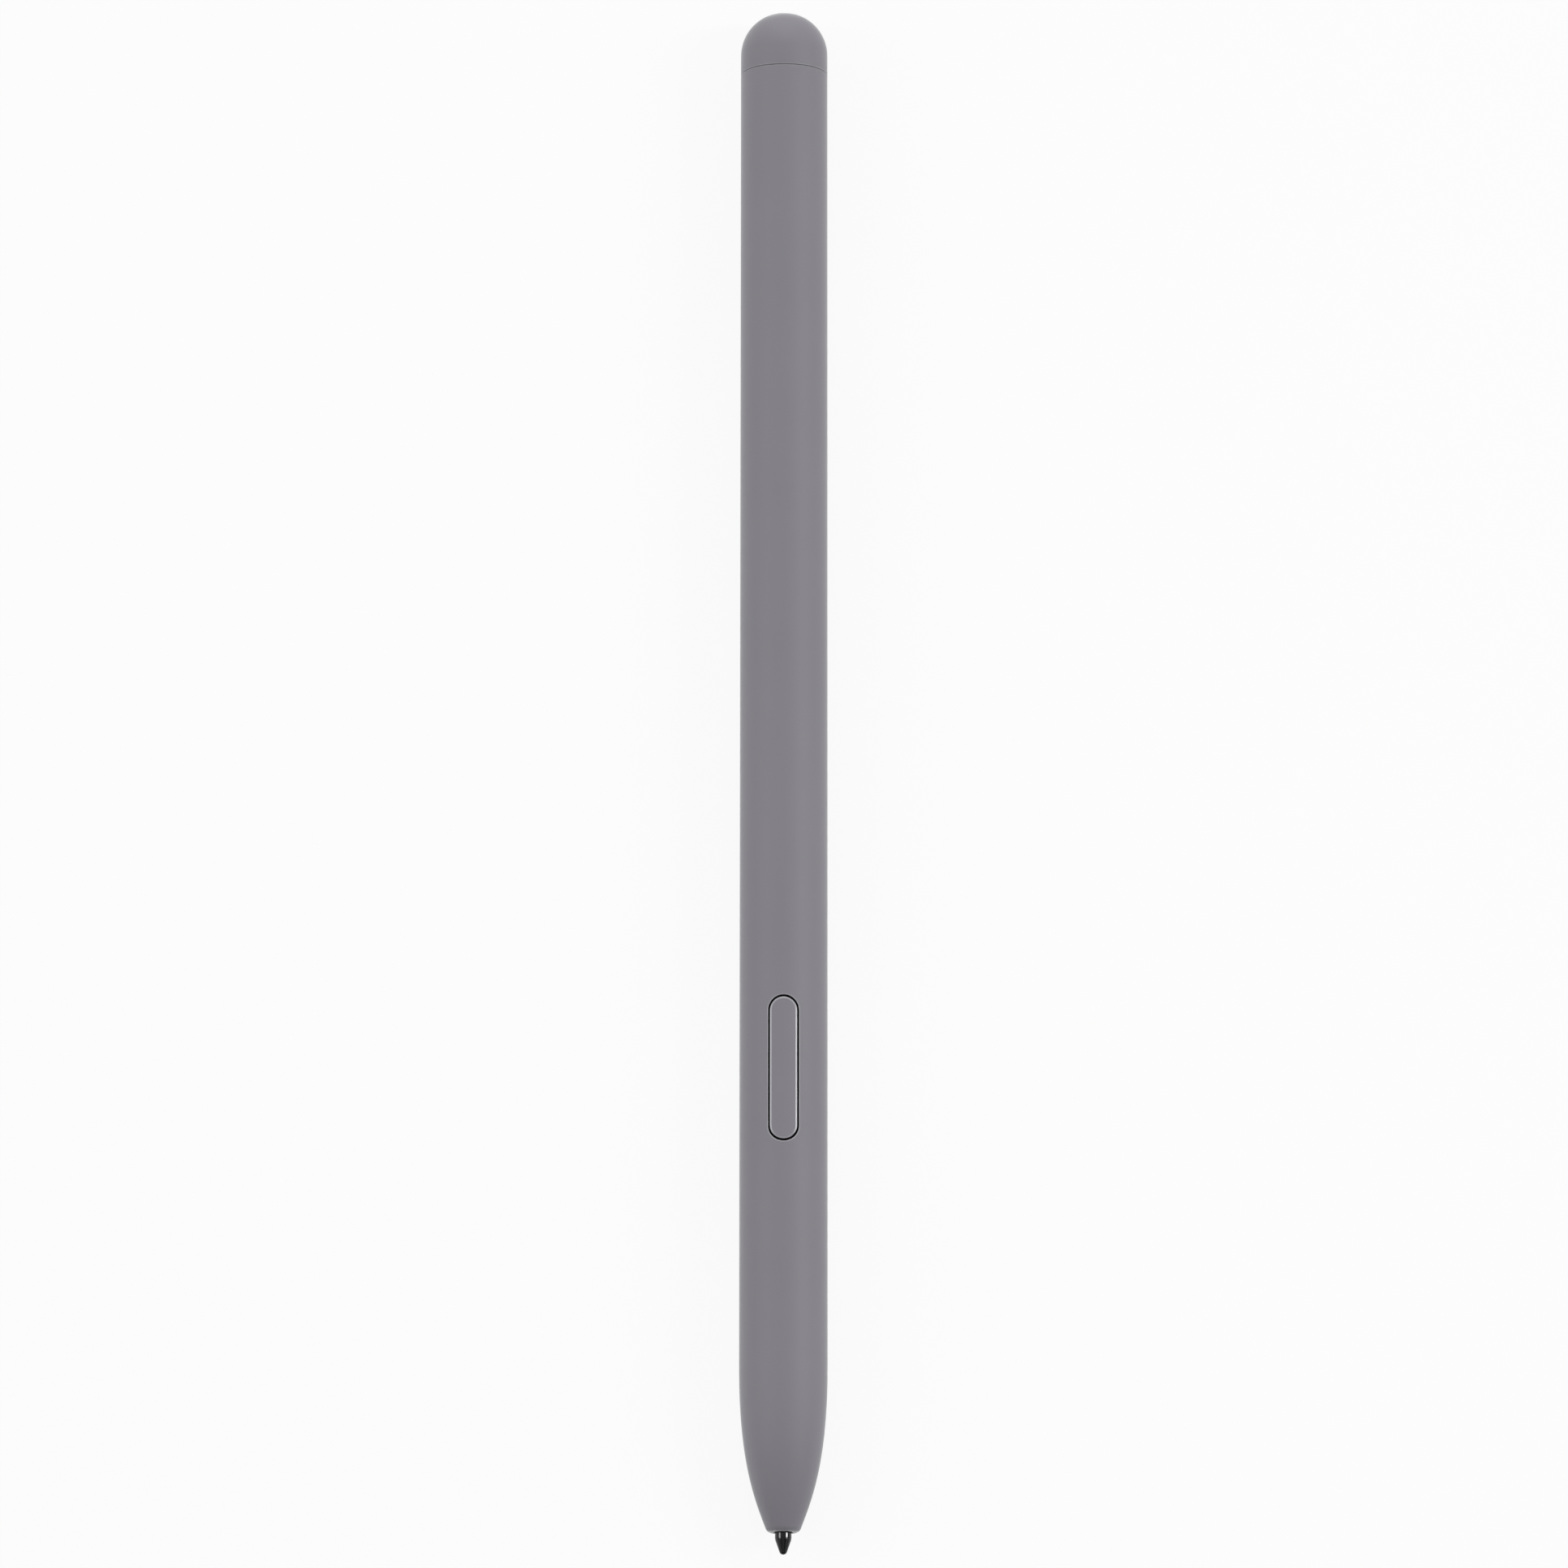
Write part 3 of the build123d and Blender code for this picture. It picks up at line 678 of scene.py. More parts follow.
inner_finishes = {
    "core_packing": moulded_silicone,
    "core_cushion": moulded_silicone,
    "ferrite_core": sintered_ferrite,
    "coil_winding": wound_copper_finish(),
    "coil_leads": drawn_copper,
    "sensor_collar": ivory_acetal,
    "nib_holder": ivory_acetal,
    "dielectric_disc": fired_ceramic,
    "rear_terminal": rolled_brass,
    "chassis": glass_nylon,
    "magnet_carrier": glass_nylon,
    "circuit_board": board_finish(),
    "chip_capacitors": chip_finish(),
    "switch_housing": switch_black,
    "switch_plunger": switch_black,
    "switch_cover": blackened_steel,
    "bar_magnets": plated_magnet,
}

# Skins


def arc(centre, radius, start, end, steps):
    """Points of an arc in the plane of radii and stations, at angles in radians."""
    angles = [start + (end - start) * i / steps for i in range(steps + 1)]
    return [(centre[0] + radius * math.cos(a), centre[1] + radius * math.sin(a)) for a in angles]


def pen_ring(radius, flat, station):
    """One cross-section of the pen: a round that the back flat cuts off, from the left corner."""
    corner = math.acos(flat / radius) if radius > flat else 0.0
    corner = max(corner, LEAST_FLAT_ANGLE)
    ring = []
    for i in range(ROUND_COLUMNS + 1):
        turn = (2 * i / ROUND_COLUMNS - 1) * (math.pi - corner)
        ring.append((radius * math.sin(turn), radius * math.cos(turn), station))
    for share in FLAT_SHARES:
        side = share * radius * math.sin(corner)
        ring.append((side, -min(flat, math.sqrt(radius ** 2 - side ** 2)), station))
    return ring


def round_ring(radius, station):
    """One round cross-section, of the nib or of the rubber puck."""
    turns = [2 * math.pi * i / TURNED_COLUMNS for i in range(TURNED_COLUMNS)]
    return [(radius * math.sin(turn), radius * math.cos(turn), station) for turn in turns]


class Skin:
    """Points and faces of one piece, sewn from rings of points."""

    def __init__(self):
        self.points = []
        self.polish = []
        self.painted_dark = []
        self.faces = []

    def lay(self, ring, polish=0.0, painted_dark=False):
        """Adds a ring's points and numbers them, polished with a painted highlight or painted dark as
        shade.
        """
        first = len(self.points)
        self.points.extend(ring)
        self.polish.extend([polish] * len(ring))
        self.painted_dark.extend([painted_dark] * len(ring))
        return list(range(first, len(self.points)))

    def sew(self, ring, following, left_open=()):
        """Joins two closed rings of the same count with four-sided faces, and leaves some columns open."""
        for i in range(len(ring)):
            if i in left_open:
                continue
            j = (i + 1) % len(ring)
            self.faces.append((ring[i], ring[j], following[j], following[i]))

    def sew_all(self, rings):
        """Joins each ring to the next one."""
        for ring, following in zip(rings, rings[1:]):
            self.sew(ring, following)

    def close(self, ring):
        """Closes a ring with one face."""
        self.faces.append(tuple(ring))

    def cap(self, ring, point, polish=0.0):
        """Closes a ring with a fan to one point."""
        tip = self.lay([point], polish)[0]
        for i in range(len(ring)):
            self.faces.append((ring[i], ring[(i + 1) % len(ring)], tip))

    def piece(self, name, finishes, body, node, slot):
        """Makes the object, and says what it rides on and replaces. A second finish is for faces painted
        dark as shade.
        """
        mesh = bpy.data.meshes.new(name)
        mesh.from_pydata([in_row(point) for point in self.points], [], self.faces)
        mesh.attributes.new("polish_and_painted_highlight", "FLOAT", "POINT").data.foreach_set("value", self.polish)
        for finish in finishes:
            mesh.materials.append(finish)
        painted_dark_faces = [all(self.painted_dark[number] for number in face) for face in self.faces]
        mesh.polygons.foreach_set("material_index", painted_dark_faces)
        work = bmesh.new()
        work.from_mesh(mesh)
        bmesh.ops.remove_doubles(work, verts=work.verts, dist=WELD_DISTANCE * MM)
        bmesh.ops.recalc_face_normals(work, faces=work.faces)
        work.to_mesh(mesh)
        work.free()
        mesh.shade_smooth()
        mesh.set_sharp_from_angle(angle=SHARP_ANGLE)
        made = new_object(name, mesh)
        normals = made.modifiers.new("even_normals", "WEIGHTED_NORMAL")
        normals.keep_sharp = True
        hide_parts(node)
        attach(made, body)
        return made


def nose_point(share, inset, stop=0.0):
    """Radius and station on the nose's side, from the shoulder at 0 to just short of the rim at 1."""
    cos, sin = math.cos(NOSE_RIM_HALF_ANGLE), math.sin(NOSE_RIM_HALF_ANGLE)
    rim = (NOSE_RIM_RADIUS - cos * inset, RIM_STATION + sin * inset)
    shoulder = (BARREL_RADIUS - inset, SHOULDER_STATION)
    swept = (shoulder[0], SHOULDER_STATION - NOSE_SHOULDER_SWEEP)
    raised = (rim[0] + sin * NOSE_RIM_SWEEP, rim[1] + cos * NOSE_RIM_SWEEP)
    ended = (rim[0] + sin * stop, rim[1] + cos * stop)
    rest = 1 - share
    weights = (rest ** 3, 3 * share * rest ** 2, 3 * share ** 2 * rest, share ** 3)
    corners = (shoulder, swept, raised, ended)
    return tuple(sum(w * c[k] for w, c in zip(weights, corners)) for k in (0, 1))


def window_stations():
    """Stations of the rows that pass the button's slot, closer together at its round ends."""
    reach = slot_half_width + WINDOW_MARGIN
    end = [slot_straight + reach * i / WINDOW_END_ROWS for i in range(WINDOW_END_ROWS, 0, -1)]
    side = [slot_straight * (1 - 2 * i / WINDOW_SIDE_ROWS) for i in range(WINDOW_SIDE_ROWS + 1)]
    offsets = end + side + [-offset for offset in reversed(end)]
    return [BUTTON_STATION + offset for offset in reversed(offsets)]


def pill_point(side, station, half_width):
    """Nearest point on a pill round the slot's middle line, of that half width."""
    along = station - BUTTON_STATION
    middle = max(-slot_straight, min(slot_straight, along))
    away = math.hypot(side, along - middle)
    return side * half_width / away, BUTTON_STATION + middle + (along - middle) * half_width / away


def rounding(edge):
    """Pairs of offset and drop that round an edge over from a face to a wall."""
    turns = [math.pi / 2 * i / EDGE_ROWS for i in range(EDGE_ROWS + 1)]
    return [(edge * (1 - math.sin(turn)), edge * (1 - math.cos(turn))) for turn in turns]


def barrel_outside(passing):
    """Radii and stations of the outside: the lip, the nose, the round, and the seam's rounded edge."""
    lip_turn = math.pi / 2 - NOSE_RIM_HALF_ANGLE
    lip_reach = NOSE_LIP_RADIUS * math.tan(lip_turn / 2)
    lip_centre = (NOSE_RIM_RADIUS - lip_reach, RIM_STATION + NOSE_LIP_RADIUS)
    lip = arc(lip_centre, NOSE_LIP_RADIUS, -math.pi / 2, -NOSE_RIM_HALF_ANGLE, LIP_ROWS)
    nose = [nose_point(i / NOSE_ROWS, 0, lip_reach) for i in range(NOSE_ROWS - 1, -1, -1)]
    straight = [(BARREL_RADIUS, station) for station in passing]
    seam_centre = (BARREL_RADIUS - SEAM_EDGE, barrel_end - SEAM_EDGE)
    seam = arc(seam_centre, SEAM_EDGE, 0, math.pi / 2, EDGE_ROWS)
    return lip + nose + straight + seam


def barrel_inside(passing):
    """Radii and stations of the inside: the bore from its end, the nose's hollow, and the nib hole."""
    bore = [(bore_radius, barrel_end)] + [(bore_radius, station) for station in reversed(passing)]
    hollow = [nose_point(i / NOSE_HOLLOW_STEPS, BARREL_WALL) for i in range(NOSE_HOLLOW_STEPS + 1)]
    wide, narrow = hollow[-2:]
    share = (NIB_HOLE_RADIUS - narrow[0]) / (wide[0] - narrow[0])
    hole_top = narrow[1] + (wide[1] - narrow[1]) * share
    edge_centre = (NIB_HOLE_RADIUS + NIB_HOLE_EDGE, RIM_STATION + NIB_HOLE_EDGE)
    edge = arc(edge_centre, NIB_HOLE_EDGE, math.pi, math.pi * 1.5, EDGE_ROWS)
    shade_start = edge[0][1] + PAINTED_SHADE_INSET
    hole = [(NIB_HOLE_RADIUS, station) for station in (hole_top, shade_start)]
    return bore + hollow[:-1] + hole + edge


def window_border(rows, window):
    """The border of the window that some rows leave open in their columns, once round."""
    near, far = window[0], window[-1] + 1
    front = [rows[0][i] for i in range(near, far)]
    right = [row[far] for row in rows[:-1]]
    back = [rows[-1][i] for i in range(far, near, -1)]
    left = [row[near] for row in reversed(rows[1:])]
    return front + right + back + left


def slot_rings(skin, border):
    """Lays the rings that lead from the window's border to the slot, over its edge and down its wall."""
    corners = [skin.points[number] for number in border]
    rings = []
    for share in SLOT_SHARES:
        ring = []
        for side, _, station in corners:
            to_side, to_station = pill_point(side, station, slot_half_width + SLOT_EDGE)
            side += (to_side - side) * share
            station += (to_station - station) * share
            ring.append((side, math.sqrt(BARREL_RADIUS ** 2 - side ** 2), station))
        rings.append(skin.lay(ring))
    for offset, drop in rounding(SLOT_EDGE):
        edge = []
        for side, _, station in corners:
            side, station = pill_point(side, station, slot_half_width + offset)
            edge.append((side, math.sqrt(BARREL_RADIUS ** 2 - side ** 2) - drop, station))
        # The slot's rounded edge is polished and painted pale as a highlight.
        rings.append(skin.lay(edge, 1.0))
    # The slot's wall below its rounded edge is painted dark as shade.
    shade_start = [(side, level - PAINTED_SHADE_INSET, station) for side, level, station in edge]
    wall_end = [(side, math.sqrt(bore_radius ** 2 - side ** 2), station) for side, _, station in edge]
    rings += [skin.lay(ring, 1.0, True) for ring in (shade_start, wall_end)]
    return rings


def barrel_skin():
    """Moulded tube: a rounded lip, a bullet nose, a long round with a back flat, its bore and its slot."""
    skin = Skin()
    passing = window_stations()
    outside = barrel_outside(passing)
    inside = barrel_inside(passing)
    outer = []
    for row, (radius, station) in enumerate(outside):
        # The lip's first rows and the seam's rounded edge are polished and painted pale as a highlight.
        polish_and_highlight = row <= LIP_POLISH_AND_HIGHLIGHT_ROWS or row > len(outside) - EDGE_ROWS
        outer.append(skin.lay(pen_ring(radius, REST_FLAT, station), float(polish_and_highlight)))
    inner = []
    for row, (radius, station) in enumerate(inside):
        # The nib hole's rounded edge is polished and painted pale as a highlight; the rest inside is
        # painted dark as shade.
        lacquered = row >= len(inside) - EDGE_ROWS - 1
        ring = pen_ring(radius, REST_FLAT - BARREL_WALL, station)
        inner.append(skin.lay(ring, float(lacquered), not lacquered))

    # The rows that pass the slot run from front to back outside, and from back to front inside.
    first = outside.index((BARREL_RADIUS, passing[0]))
    last = first + len(passing) - 1
    inner_last = inside.index((bore_radius, passing[-1]))
    inner_first = inner_last + len(passing) - 1
    window = range(ROUND_COLUMNS // 2 - WINDOW_COLUMNS, ROUND_COLUMNS // 2 + WINDOW_COLUMNS)
    open_rows = set(range(first, last))
    open_rows |= set(range(len(outer) + inner_last, len(outer) + inner_first))
    rings = outer + inner
    for row, ring in enumerate(rings):
        following = rings[(row + 1) % len(rings)]
        skin.sew(ring, following, window if row in open_rows else ())

    outer_border = window_border(outer[first:last + 1], window)
    inner_border = window_border(inner[inner_last:inner_first + 1][::-1], window)
    skin.sew_all([outer_border] + slot_rings(skin, outer_border) + [inner_border])
    return skin


def cap_skin():
    """Domed plug: its hollow spigot, the seam's rounded edge, the skirt and the dome."""
    skin = Skin()
    spigot = bore_radius - SPIGOT_CLEARANCE
    hollow = spigot - SPIGOT_WALL
    groove = spigot - GLUE_GROOVE_DEPTH
    groove_front = (SPIGOT_FRONT + SEAM_STATION - GLUE_GROOVE_WIDTH) / 2
    groove_back = groove_front + GLUE_GROOVE_WIDTH
    skirt = SEAM_STATION + SEAM_GAP / 2
    side = [
        (hollow, DOME_STATION),
        (hollow, SPIGOT_FRONT),
        (spigot, SPIGOT_FRONT),
        (spigot, groove_front),
        (groove, groove_front),
        (groove, groove_back),
        (spigot, groove_back),
        (spigot, skirt),
    ]
    seam_centre = (BARREL_RADIUS - SEAM_EDGE, skirt + SEAM_EDGE)
    seam = arc(seam_centre, SEAM_EDGE, -math.pi / 2, 0, EDGE_ROWS)
    dome = arc((0, DOME_STATION), BARREL_RADIUS, 0, math.pi / 2, DOME_ROWS)[:-1]
    rings = []
    # The spigot, inside the barrel, is painted dark as shade.
    for radius, station in side:
        flat = REST_FLAT - (BARREL_RADIUS - radius)
        rings.append(skin.lay(pen_ring(radius, flat, station), painted_dark=True))
    # The seam's rounded edge is polished and painted pale as a highlight.
    for part, polish in ((seam[:-1], 1.0), (seam[-1:] + dome, 0.0)):
        rings += [skin.lay(pen_ring(radius, REST_FLAT, station), polish) for radius, station in part]
    skin.close(rings[0])
    skin.sew_all(rings)
    skin.cap(rings[-1], (0, 0, DOME_STATION + BARREL_RADIUS))
    return skin


def key_outline(half_width):
    """Pill outline of the side button, once round, with doubled points where the tongue leaves it."""
    bend = math.asin(TONGUE_HALF_WIDTH / key_half_width)
    stops = (-math.pi / 2, -bend, bend, math.pi / 2)
    turns = []
    for start, end in zip(stops, stops[1:]):
        turns += [start + (end - start) * i / KEY_END_STEPS for i in range(KEY_END_STEPS + 1)]
    end = [(half_width * math.sin(t), key_straight + half_width * math.cos(t)) for t in turns]
    straight = [key_straight * (1 - 2 * i / KEY_SIDE_STEPS) for i in range(1, KEY_SIDE_STEPS)]
    outline = end + [(half_width, along) for along in straight]
    return outline + [(-side, -along) for side, along in outline]


def key_skin():
    """Pill-shaped key that follows the barrel's round, with its keeper tongue and boss."""
    skin = Skin()
    crown = BARREL_RADIUS + BUTTON_PROUD
    rings = []
    top_half_width = key_half_width - BUTTON_BEVEL
    for share in KEY_TOP_SHARES:
        ring = key_outline(top_half_width * share)
        rings.append([(x, math.sqrt(crown ** 2 - x ** 2), BUTTON_STATION + y) for x, y in ring])
    rim = len(rings) - 1
    slant = BUTTON_BEVEL - BUTTON_EDGE
    bevel = [(slant * share, BUTTON_BEVEL_DROP * share) for share in BEVEL_SHARES]
    for offset, drop in rounding(BUTTON_EDGE):
        bevel.append((BUTTON_BEVEL - offset, BUTTON_BEVEL_DROP + drop))
    levels = [level for _, level, _ in rings[-1]]
    for reach, drop in bevel:
        ring = key_outline(top_half_width + reach)
        rings.append([(x, top - drop, BUTTON_STATION + y) for (x, y), top in zip(ring, levels)])
    lacquered = len(rings)
    outline = key_outline(key_half_width)
    # The middle one of an end's three arcs is pulled out to make the tongue.
    arc_count = KEY_END_STEPS + 1
    tongue = []
    for i, (x, y) in enumerate(outline):
        step = i % (len(outline) // 2)
        if arc_count <= step < arc_count * 2:
            y = math.copysign(TONGUE_REACH, y)
        tongue.append((x, y))
    # From here down, the key's walls are painted dark as shade.
    rim_end = rings[-1]
    rings.append([(x, level - PAINTED_SHADE_INSET, station) for x, level, station in rim_end])
    rings.append([(x, TONGUE_TOP, BUTTON_STATION + y) for x, y in outline])
    rings.append([(x, TONGUE_TOP, BUTTON_STATION + y) for x, y in tongue])
    rings.append([(x, KEY_UNDERSIDE, BUTTON_STATION + y) for x, y in tongue])
    boss = []
    for x, y in tongue:
        away = math.hypot(x, y)
        boss.append((x * BOSS_RADIUS / away, y * BOSS_RADIUS / away))
    for level in (KEY_UNDERSIDE, BOSS_END):
        rings.append([(x, level, BUTTON_STATION + y) for x, y in boss])
    # The bevel and its rounded edge are polished and painted pale as a highlight.
    numbers = [skin.lay(ring, float(i > rim), i >= lacquered) for i, ring in enumerate(rings)]
    skin.sew_all(numbers)
    skin.close(numbers[0])
    skin.close(numbers[-1])
    return skin


def nib_skin():
    """Ball-tipped cone, a fine groove, a short polished shank, and the stem that runs back inside."""
    skin = Skin()
    rise = NIB_CONE_LENGTH - NIB_BALL_RADIUS
    touch = math.atan2(rise, NIB_RADIUS) - math.acos(NIB_BALL_RADIUS / math.hypot(NIB_RADIUS, rise))
    ball = arc((0, NIB_BALL_RADIUS), NIB_BALL_RADIUS, -math.pi / 2, touch, NIB_BALL_ROWS)[1:]
    foot = ball[-1]
    groove = NIB_RADIUS - NIB_GROOVE_DEPTH
    cone_end = NIB_CONE_LENGTH - NIB_GROOVE_WIDTH / 2
    share = (cone_end - foot[1]) / (NIB_CONE_LENGTH - foot[1])
    cone_radius = foot[0] + (NIB_RADIUS - foot[0]) * share
    shank = NIB_CONE_LENGTH + NIB_GROOVE_WIDTH / 2
    cone = []
    for part in NIB_CONE_SHARES:
        cone.append((foot[0] + (cone_radius - foot[0]) * part, foot[1] + (cone_end - foot[1]) * part))
    waist = [(groove, cone_end), (groove, shank)]
    barrel = [
        (NIB_RADIUS, shank),
        (NIB_RADIUS, shank + NIB_GROOVE_WIDTH / 2),
        (NIB_RADIUS, NIB_HEAD_LENGTH),
        (NIB_STEM_RADIUS, NIB_HEAD_LENGTH + NIB_TAPER_LENGTH),
        (NIB_STEM_RADIUS, NIB_STEM_END - NIB_STEM_CHAMFER),
        (NIB_STEM_RADIUS - NIB_STEM_CHAMFER, NIB_STEM_END),
    ]
    rings = []
    for side, polish in ((ball, NIB_TIP_POLISH), (cone, 0.0), (waist, 0.0), (barrel, 1.0)):
        rings += [skin.lay(round_ring(radius, station), polish) for radius, station in side]
    skin.sew_all(rings)
    skin.cap(rings[0], (0, 0, 0), NIB_TIP_POLISH)
    skin.cap(rings[-1], (0, 0, NIB_STEM_END), 1.0)
    return skin


def spring_skin():
    """Round wire wound in open turns, each section square to the wire."""
    skin = Skin()
    whole_turn = 2 * math.pi * SPRING_TURNS
    slope = math.atan2((SPRING_BACK - SPRING_FRONT) / whole_turn, SPRING_RADIUS)
    rings = []
    for i in range(SPRING_STEPS + 1):
        turn = whole_turn * i / SPRING_STEPS
        station = SPRING_FRONT + (SPRING_BACK - SPRING_FRONT) * i / SPRING_STEPS
        ring = []
        for j in range(SPRING_SIDES):
            angle = 2 * math.pi * j / SPRING_SIDES
            reach = SPRING_RADIUS + SPRING_WIRE_RADIUS * math.cos(angle)
            rise = SPRING_WIRE_RADIUS * math.sin(angle)
            lean = rise * math.sin(slope)
            side = reach * math.cos(turn) + lean * math.sin(turn)
            level = lean * math.cos(turn) - reach * math.sin(turn)
            ring.append((side, level, station + rise * math.cos(slope)))
        rings.append(skin.lay(ring))
    skin.sew_all(rings)
    skin.close(rings[0])
    skin.close(rings[-1])
    return skin


def snap_dome_skin():
    """Thin dished disc of even thickness, its foot on the switch's floor."""
    skin = Skin()
    bow = (SNAP_RADIUS ** 2 + SNAP_RISE ** 2) / (SNAP_RISE * 2)
    turns = [2 * math.pi * i / SNAP_COLUMNS for i in range(SNAP_COLUMNS)]
    radii = [SNAP_RADIUS * (i + 1) / SNAP_ROWS for i in range(SNAP_ROWS)]
    rows = [(radius, SNAP_FOOT + SNAP_THICKNESS) for radius in radii]
    rows += [(radius, SNAP_FOOT) for radius in reversed(radii)]
    rings = []
    for radius, foot in rows:
        level = foot + math.sqrt(bow ** 2 - radius ** 2) - bow + SNAP_RISE
        ring = [(radius * math.sin(t), level, BUTTON_STATION + radius * math.cos(t)) for t in turns]
        rings.append(skin.lay(ring))
    skin.sew_all(rings)
    for ring, foot in ((rings[0], SNAP_FOOT + SNAP_THICKNESS), (rings[-1], SNAP_FOOT)):
        skin.cap(ring, (0, foot + SNAP_RISE, BUTTON_STATION))
    return skin


def puck_skin():
    """Rubber puck with softened edges and a crowned face towards the disc."""
    skin = Skin()
    face = PUCK_RADIUS - PUCK_EDGE
    shoulder = PUCK_BACK - PUCK_CROWN
    bow = (face ** 2 + PUCK_CROWN ** 2) / (PUCK_CROWN * 2)
    side = arc((face, PUCK_FRONT + PUCK_EDGE), PUCK_EDGE, -math.pi / 2, 0, EDGE_ROWS)
    side += arc((face, shoulder - PUCK_EDGE), PUCK_EDGE, 0, math.pi / 2, EDGE_ROWS)
    for i in range(1, PUCK_ROWS):
        radius = face * (1 - i / PUCK_ROWS)
        side.append((radius, PUCK_BACK - bow + math.sqrt(bow ** 2 - radius ** 2)))
    rings = [skin.lay(round_ring(radius, station)) for radius, station in side]
    skin.sew_all(rings)
    skin.cap(rings[0], (0, 0, PUCK_FRONT))
    skin.cap(rings[-1], (0, 0, PUCK_BACK))
    return skin


def pad_skin():
    """Foam disc with a flat, pressed between two faces so that its sides bulge."""
    skin = Skin()
    middle = (PAD_FRONT + PAD_BACK) / 2
    rings = []
    for i in range(PAD_ROWS + 1):
        turn = math.pi * (i / PAD_ROWS - 0.5)
        inset = PAD_BULGE * (1 - math.cos(turn))
        station = middle + (PAD_BACK - middle) * math.sin(turn)
        rings.append(skin.lay(pen_ring(PAD_RADIUS - inset, PAD_FLAT - inset, station)))
    skin.sew_all(rings)
    skin.close(rings[0])
    skin.close(rings[-1])
    return skin


housing = (satin_lacquer, gap_shade_black)
barrel_skin().piece("pen_barrel", housing, "body", "barrel", "body_plastic")
cap_skin().piece("pen_end_cap", housing, "body", "end_cap", "body_plastic")
key_skin().piece("pen_side_button", housing, "button", "side_button", "body_plastic")
nib_skin().piece("pen_nib", (turned_acetal,), "nib", "nib", "nib_plastic")

# In the pen the spring shortens towards the disc behind it as the nib goes in; here it only gets a mesh of
# its own.
wire = (drawn_spring_wire,)
spring = spring_skin().piece("sensor_coil_spring", wire, "body", "sensor_spring", "spring_steel")
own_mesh(spring)

# In the pen the dome flattens towards the switch's floor as the button goes in; here it only gets a mesh of
# its own.
snap_dome = snap_dome_skin().piece("switch_snap_dome", wire, "body", "switch_dome", "spring_steel")
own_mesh(snap_dome)

rubber = (carbon_rubber,)
puck_skin().piece("contact_puck", rubber, "sensor_plunger", "contact_rubber", "contact_rubber")
end_pad = pad_skin().piece("foam_end_pad", (cut_foam,), "body", "end_cushion", "foam")

for node, finish in inner_finishes.items():
    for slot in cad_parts[node].material_slots:
        slot.material = finish

# Studio. Its floor, its lamps and the camera's distance are in metres.

FLOOR_HALF = 3.0
FLOOR_DROP = 0.00002
FLOOR_LIFT = 0.9
WHITE = "#FFFFFF"

# Where the sky is brightest, and how its light grows from the far side to there
BRIGHT_SKY = (-0.21, 0.98, 0.0)
SKY_LEANS = (-0.9, 1.0)
SKY_LEVELS = (0.0, 1.14)

# Lamps: direction from the pen, distance, size across and along the pen, and power in watts
LAMPS = {
    "right_softbox": ((0.77, 0.1, 0.62), 0.7, 0.28, 0.07, 1.55),
    "left_softbox": ((-0.77, 0.1, 0.62), 0.7, 0.28, 0.12, 0.85),
    "rear_softbox": ((0.0, 0.89, 0.45), 0.8, 0.3, 0.05, 0.6),
    "front_softbox": ((0.0, -0.67, 0.74), 0.8, 0.3, 0.03, 0.2),
    "front_right_softbox": ((0.73, -0.57, 0.38), 0.7, 0.1, 0.1, 0.15),
    "front_left_softbox": ((-0.73, -0.57, 0.38), 0.7, 0.1, 0.1, 0.1),
}

# Camera: its sensor and the frame's shift are in millimetres, and its focal length is in pixels.
FRAME_PIXELS = 1932
SENSOR_WIDTH = 36.0
CAMERA_PIXELS = 13490
CAMERA_REACH = 1.0
CAMERA_TILT = math.radians(12.16)
CAMERA_ROLL = math.radians(0.0376)
FRAME_SHIFT = Vector((0.025, -1.006))

pen_middle = Vector((0, 0, REST_FLAT * MM))
image_up = Vector((0, math.cos(CAMERA_TILT), math.sin(CAMERA_TILT)))
towards_camera = Vector((0, -math.sin(CAMERA_TILT), math.cos(CAMERA_TILT)))


def seen_by(tree, *rays):
    """One for a ray from the camera or of one of the named kinds, nothing for any other ray."""
    path = add_node(tree, "ShaderNodeLightPath")
    seen = path.outputs["Is Camera Ray"]
    for ray in rays:
        seen = add_node(
            tree, "ShaderNodeMath", {"operation": "MAXIMUM"}, {0: seen, 1: path.outputs[ray]}
        ).outputs[0]
    return seen


def pale_floor():
    """A pale paper sweep that is white to the eye and keeps the pen's shadow."""
    corners = [(-1, -1), (1, -1), (1, 1), (-1, 1)]
    mesh = bpy.data.meshes.new("paper_floor")
    points = [(x * FLOOR_HALF, y * FLOOR_HALF, -FLOOR_DROP) for x, y in corners]
    mesh.from_pydata(points, [], [(0, 1, 2, 3)])
    floor = new_object("paper_floor", mesh)
    finish, tree = new_finish("pale_paper")
    paper = add_node(
        tree, "ShaderNodeBsdfDiffuse", {"Color": hex_colour("#F4F4F4")}
    ).outputs["BSDF"]
    seen = seen_by(tree, "Is Glossy Ray", "Is Transmission Ray")
    lift = add_node(
        tree, "ShaderNodeMath", {"operation": "MULTIPLY", 1: FLOOR_LIFT}, {0: seen}
    ).outputs[0]
    white = add_node(
        tree, "ShaderNodeEmission", {"Color": hex_colour(WHITE), "Strength": 1.0}
    ).outputs["Emission"]
    both = add_node(
        tree, "ShaderNodeMixShader", links={"Fac": lift, 1: paper, 2: white}
    ).outputs["Shader"]
    add_node(tree, "ShaderNodeOutputMaterial", links={"Surface": both})
    mesh.materials.append(finish)


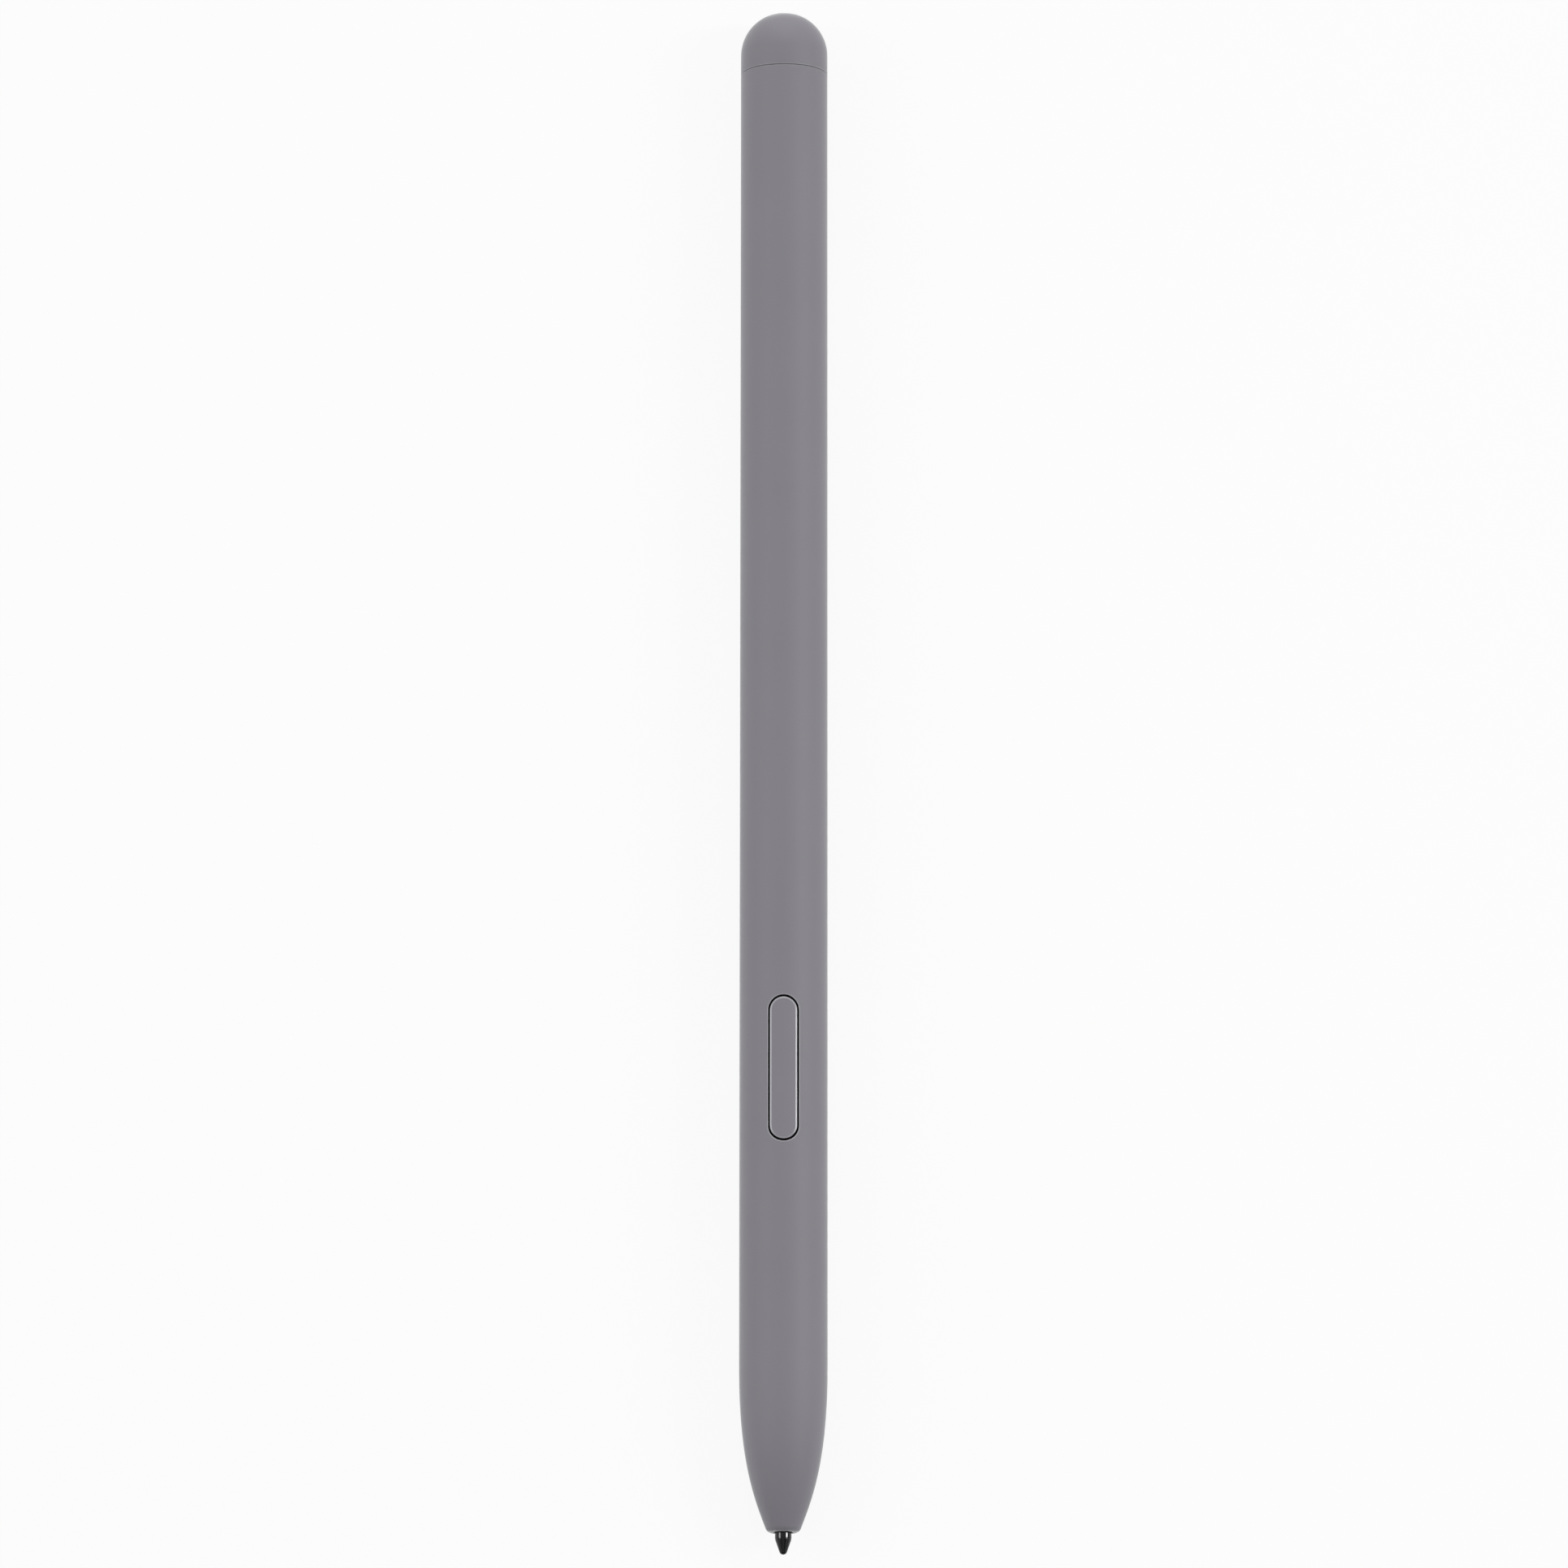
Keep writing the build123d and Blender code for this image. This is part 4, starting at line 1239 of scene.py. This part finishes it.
def softbox(name, direction, reach, across, along, power):
    """A soft rectangular lamp that faces the pen from a direction, with one side along the pen."""
    lamp = bpy.data.lights.new(name, "AREA")
    lamp.shape = "RECTANGLE"
    lamp.size = across
    lamp.size_y = along
    lamp.energy = power
    box = new_object(name, lamp)
    back = Vector(direction).normalized()
    right = Vector((0, 1, 0)).cross(back).normalized()
    turn = Matrix((right, back.cross(right), back)).transposed()
    box.matrix_world = Matrix.Translation(pen_middle + back * reach) @ turn.to_4x4()


def studio_sky():
    """Even soft light from all round, fainter on the nib's side, and white where it is seen."""
    world = bpy.data.worlds.new("studio_sky")
    world.use_nodes = True
    tree = world.node_tree
    tree.nodes.clear()
    place = add_node(tree, "ShaderNodeTexCoord").outputs["Generated"]
    lean = add_node(
        tree, "ShaderNodeVectorMath", {"operation": "DOT_PRODUCT", 1: BRIGHT_SKY}, {0: place}
    ).outputs["Value"]
    level = add_node(
        tree,
        "ShaderNodeMapRange",
        {
            "From Min": SKY_LEANS[0],
            "From Max": SKY_LEANS[1],
            "To Min": SKY_LEVELS[0],
            "To Max": SKY_LEVELS[1],
        },
        {"Value": lean},
    ).outputs["Result"]
    seen = seen_by(tree, "Is Transmission Ray")
    light = add_node(
        tree, "ShaderNodeBackground", links={"Strength": level}
    ).outputs["Background"]
    white = add_node(
        tree, "ShaderNodeBackground", {"Strength": 1.0, "Color": hex_colour(WHITE)}
    ).outputs["Background"]
    both = add_node(
        tree, "ShaderNodeMixShader", links={"Fac": seen, 1: light, 2: white}
    ).outputs["Shader"]
    add_node(tree, "ShaderNodeOutputWorld", links={"Surface": both})
    bpy.context.scene.world = world


pale_floor()
studio_sky()
for name, settings in LAMPS.items():
    softbox(name, *settings)

view = bpy.data.cameras.new("photo_view")
view.sensor_width = SENSOR_WIDTH
view.lens = CAMERA_PIXELS / FRAME_PIXELS * SENSOR_WIDTH
camera = new_object("photo_view", view)
aim_point = pen_middle + Vector((FRAME_SHIFT.x * MM, 0, 0)) + image_up * FRAME_SHIFT.y * MM
camera.location = aim_point + towards_camera * CAMERA_REACH
level_view = (-towards_camera).to_track_quat("-Z", "Y")
camera.rotation_euler = (level_view @ Quaternion((0, 0, 1), CAMERA_ROLL)).to_euler()
bpy.context.scene.camera = camera
bpy.context.scene.view_settings.view_transform = "Standard"
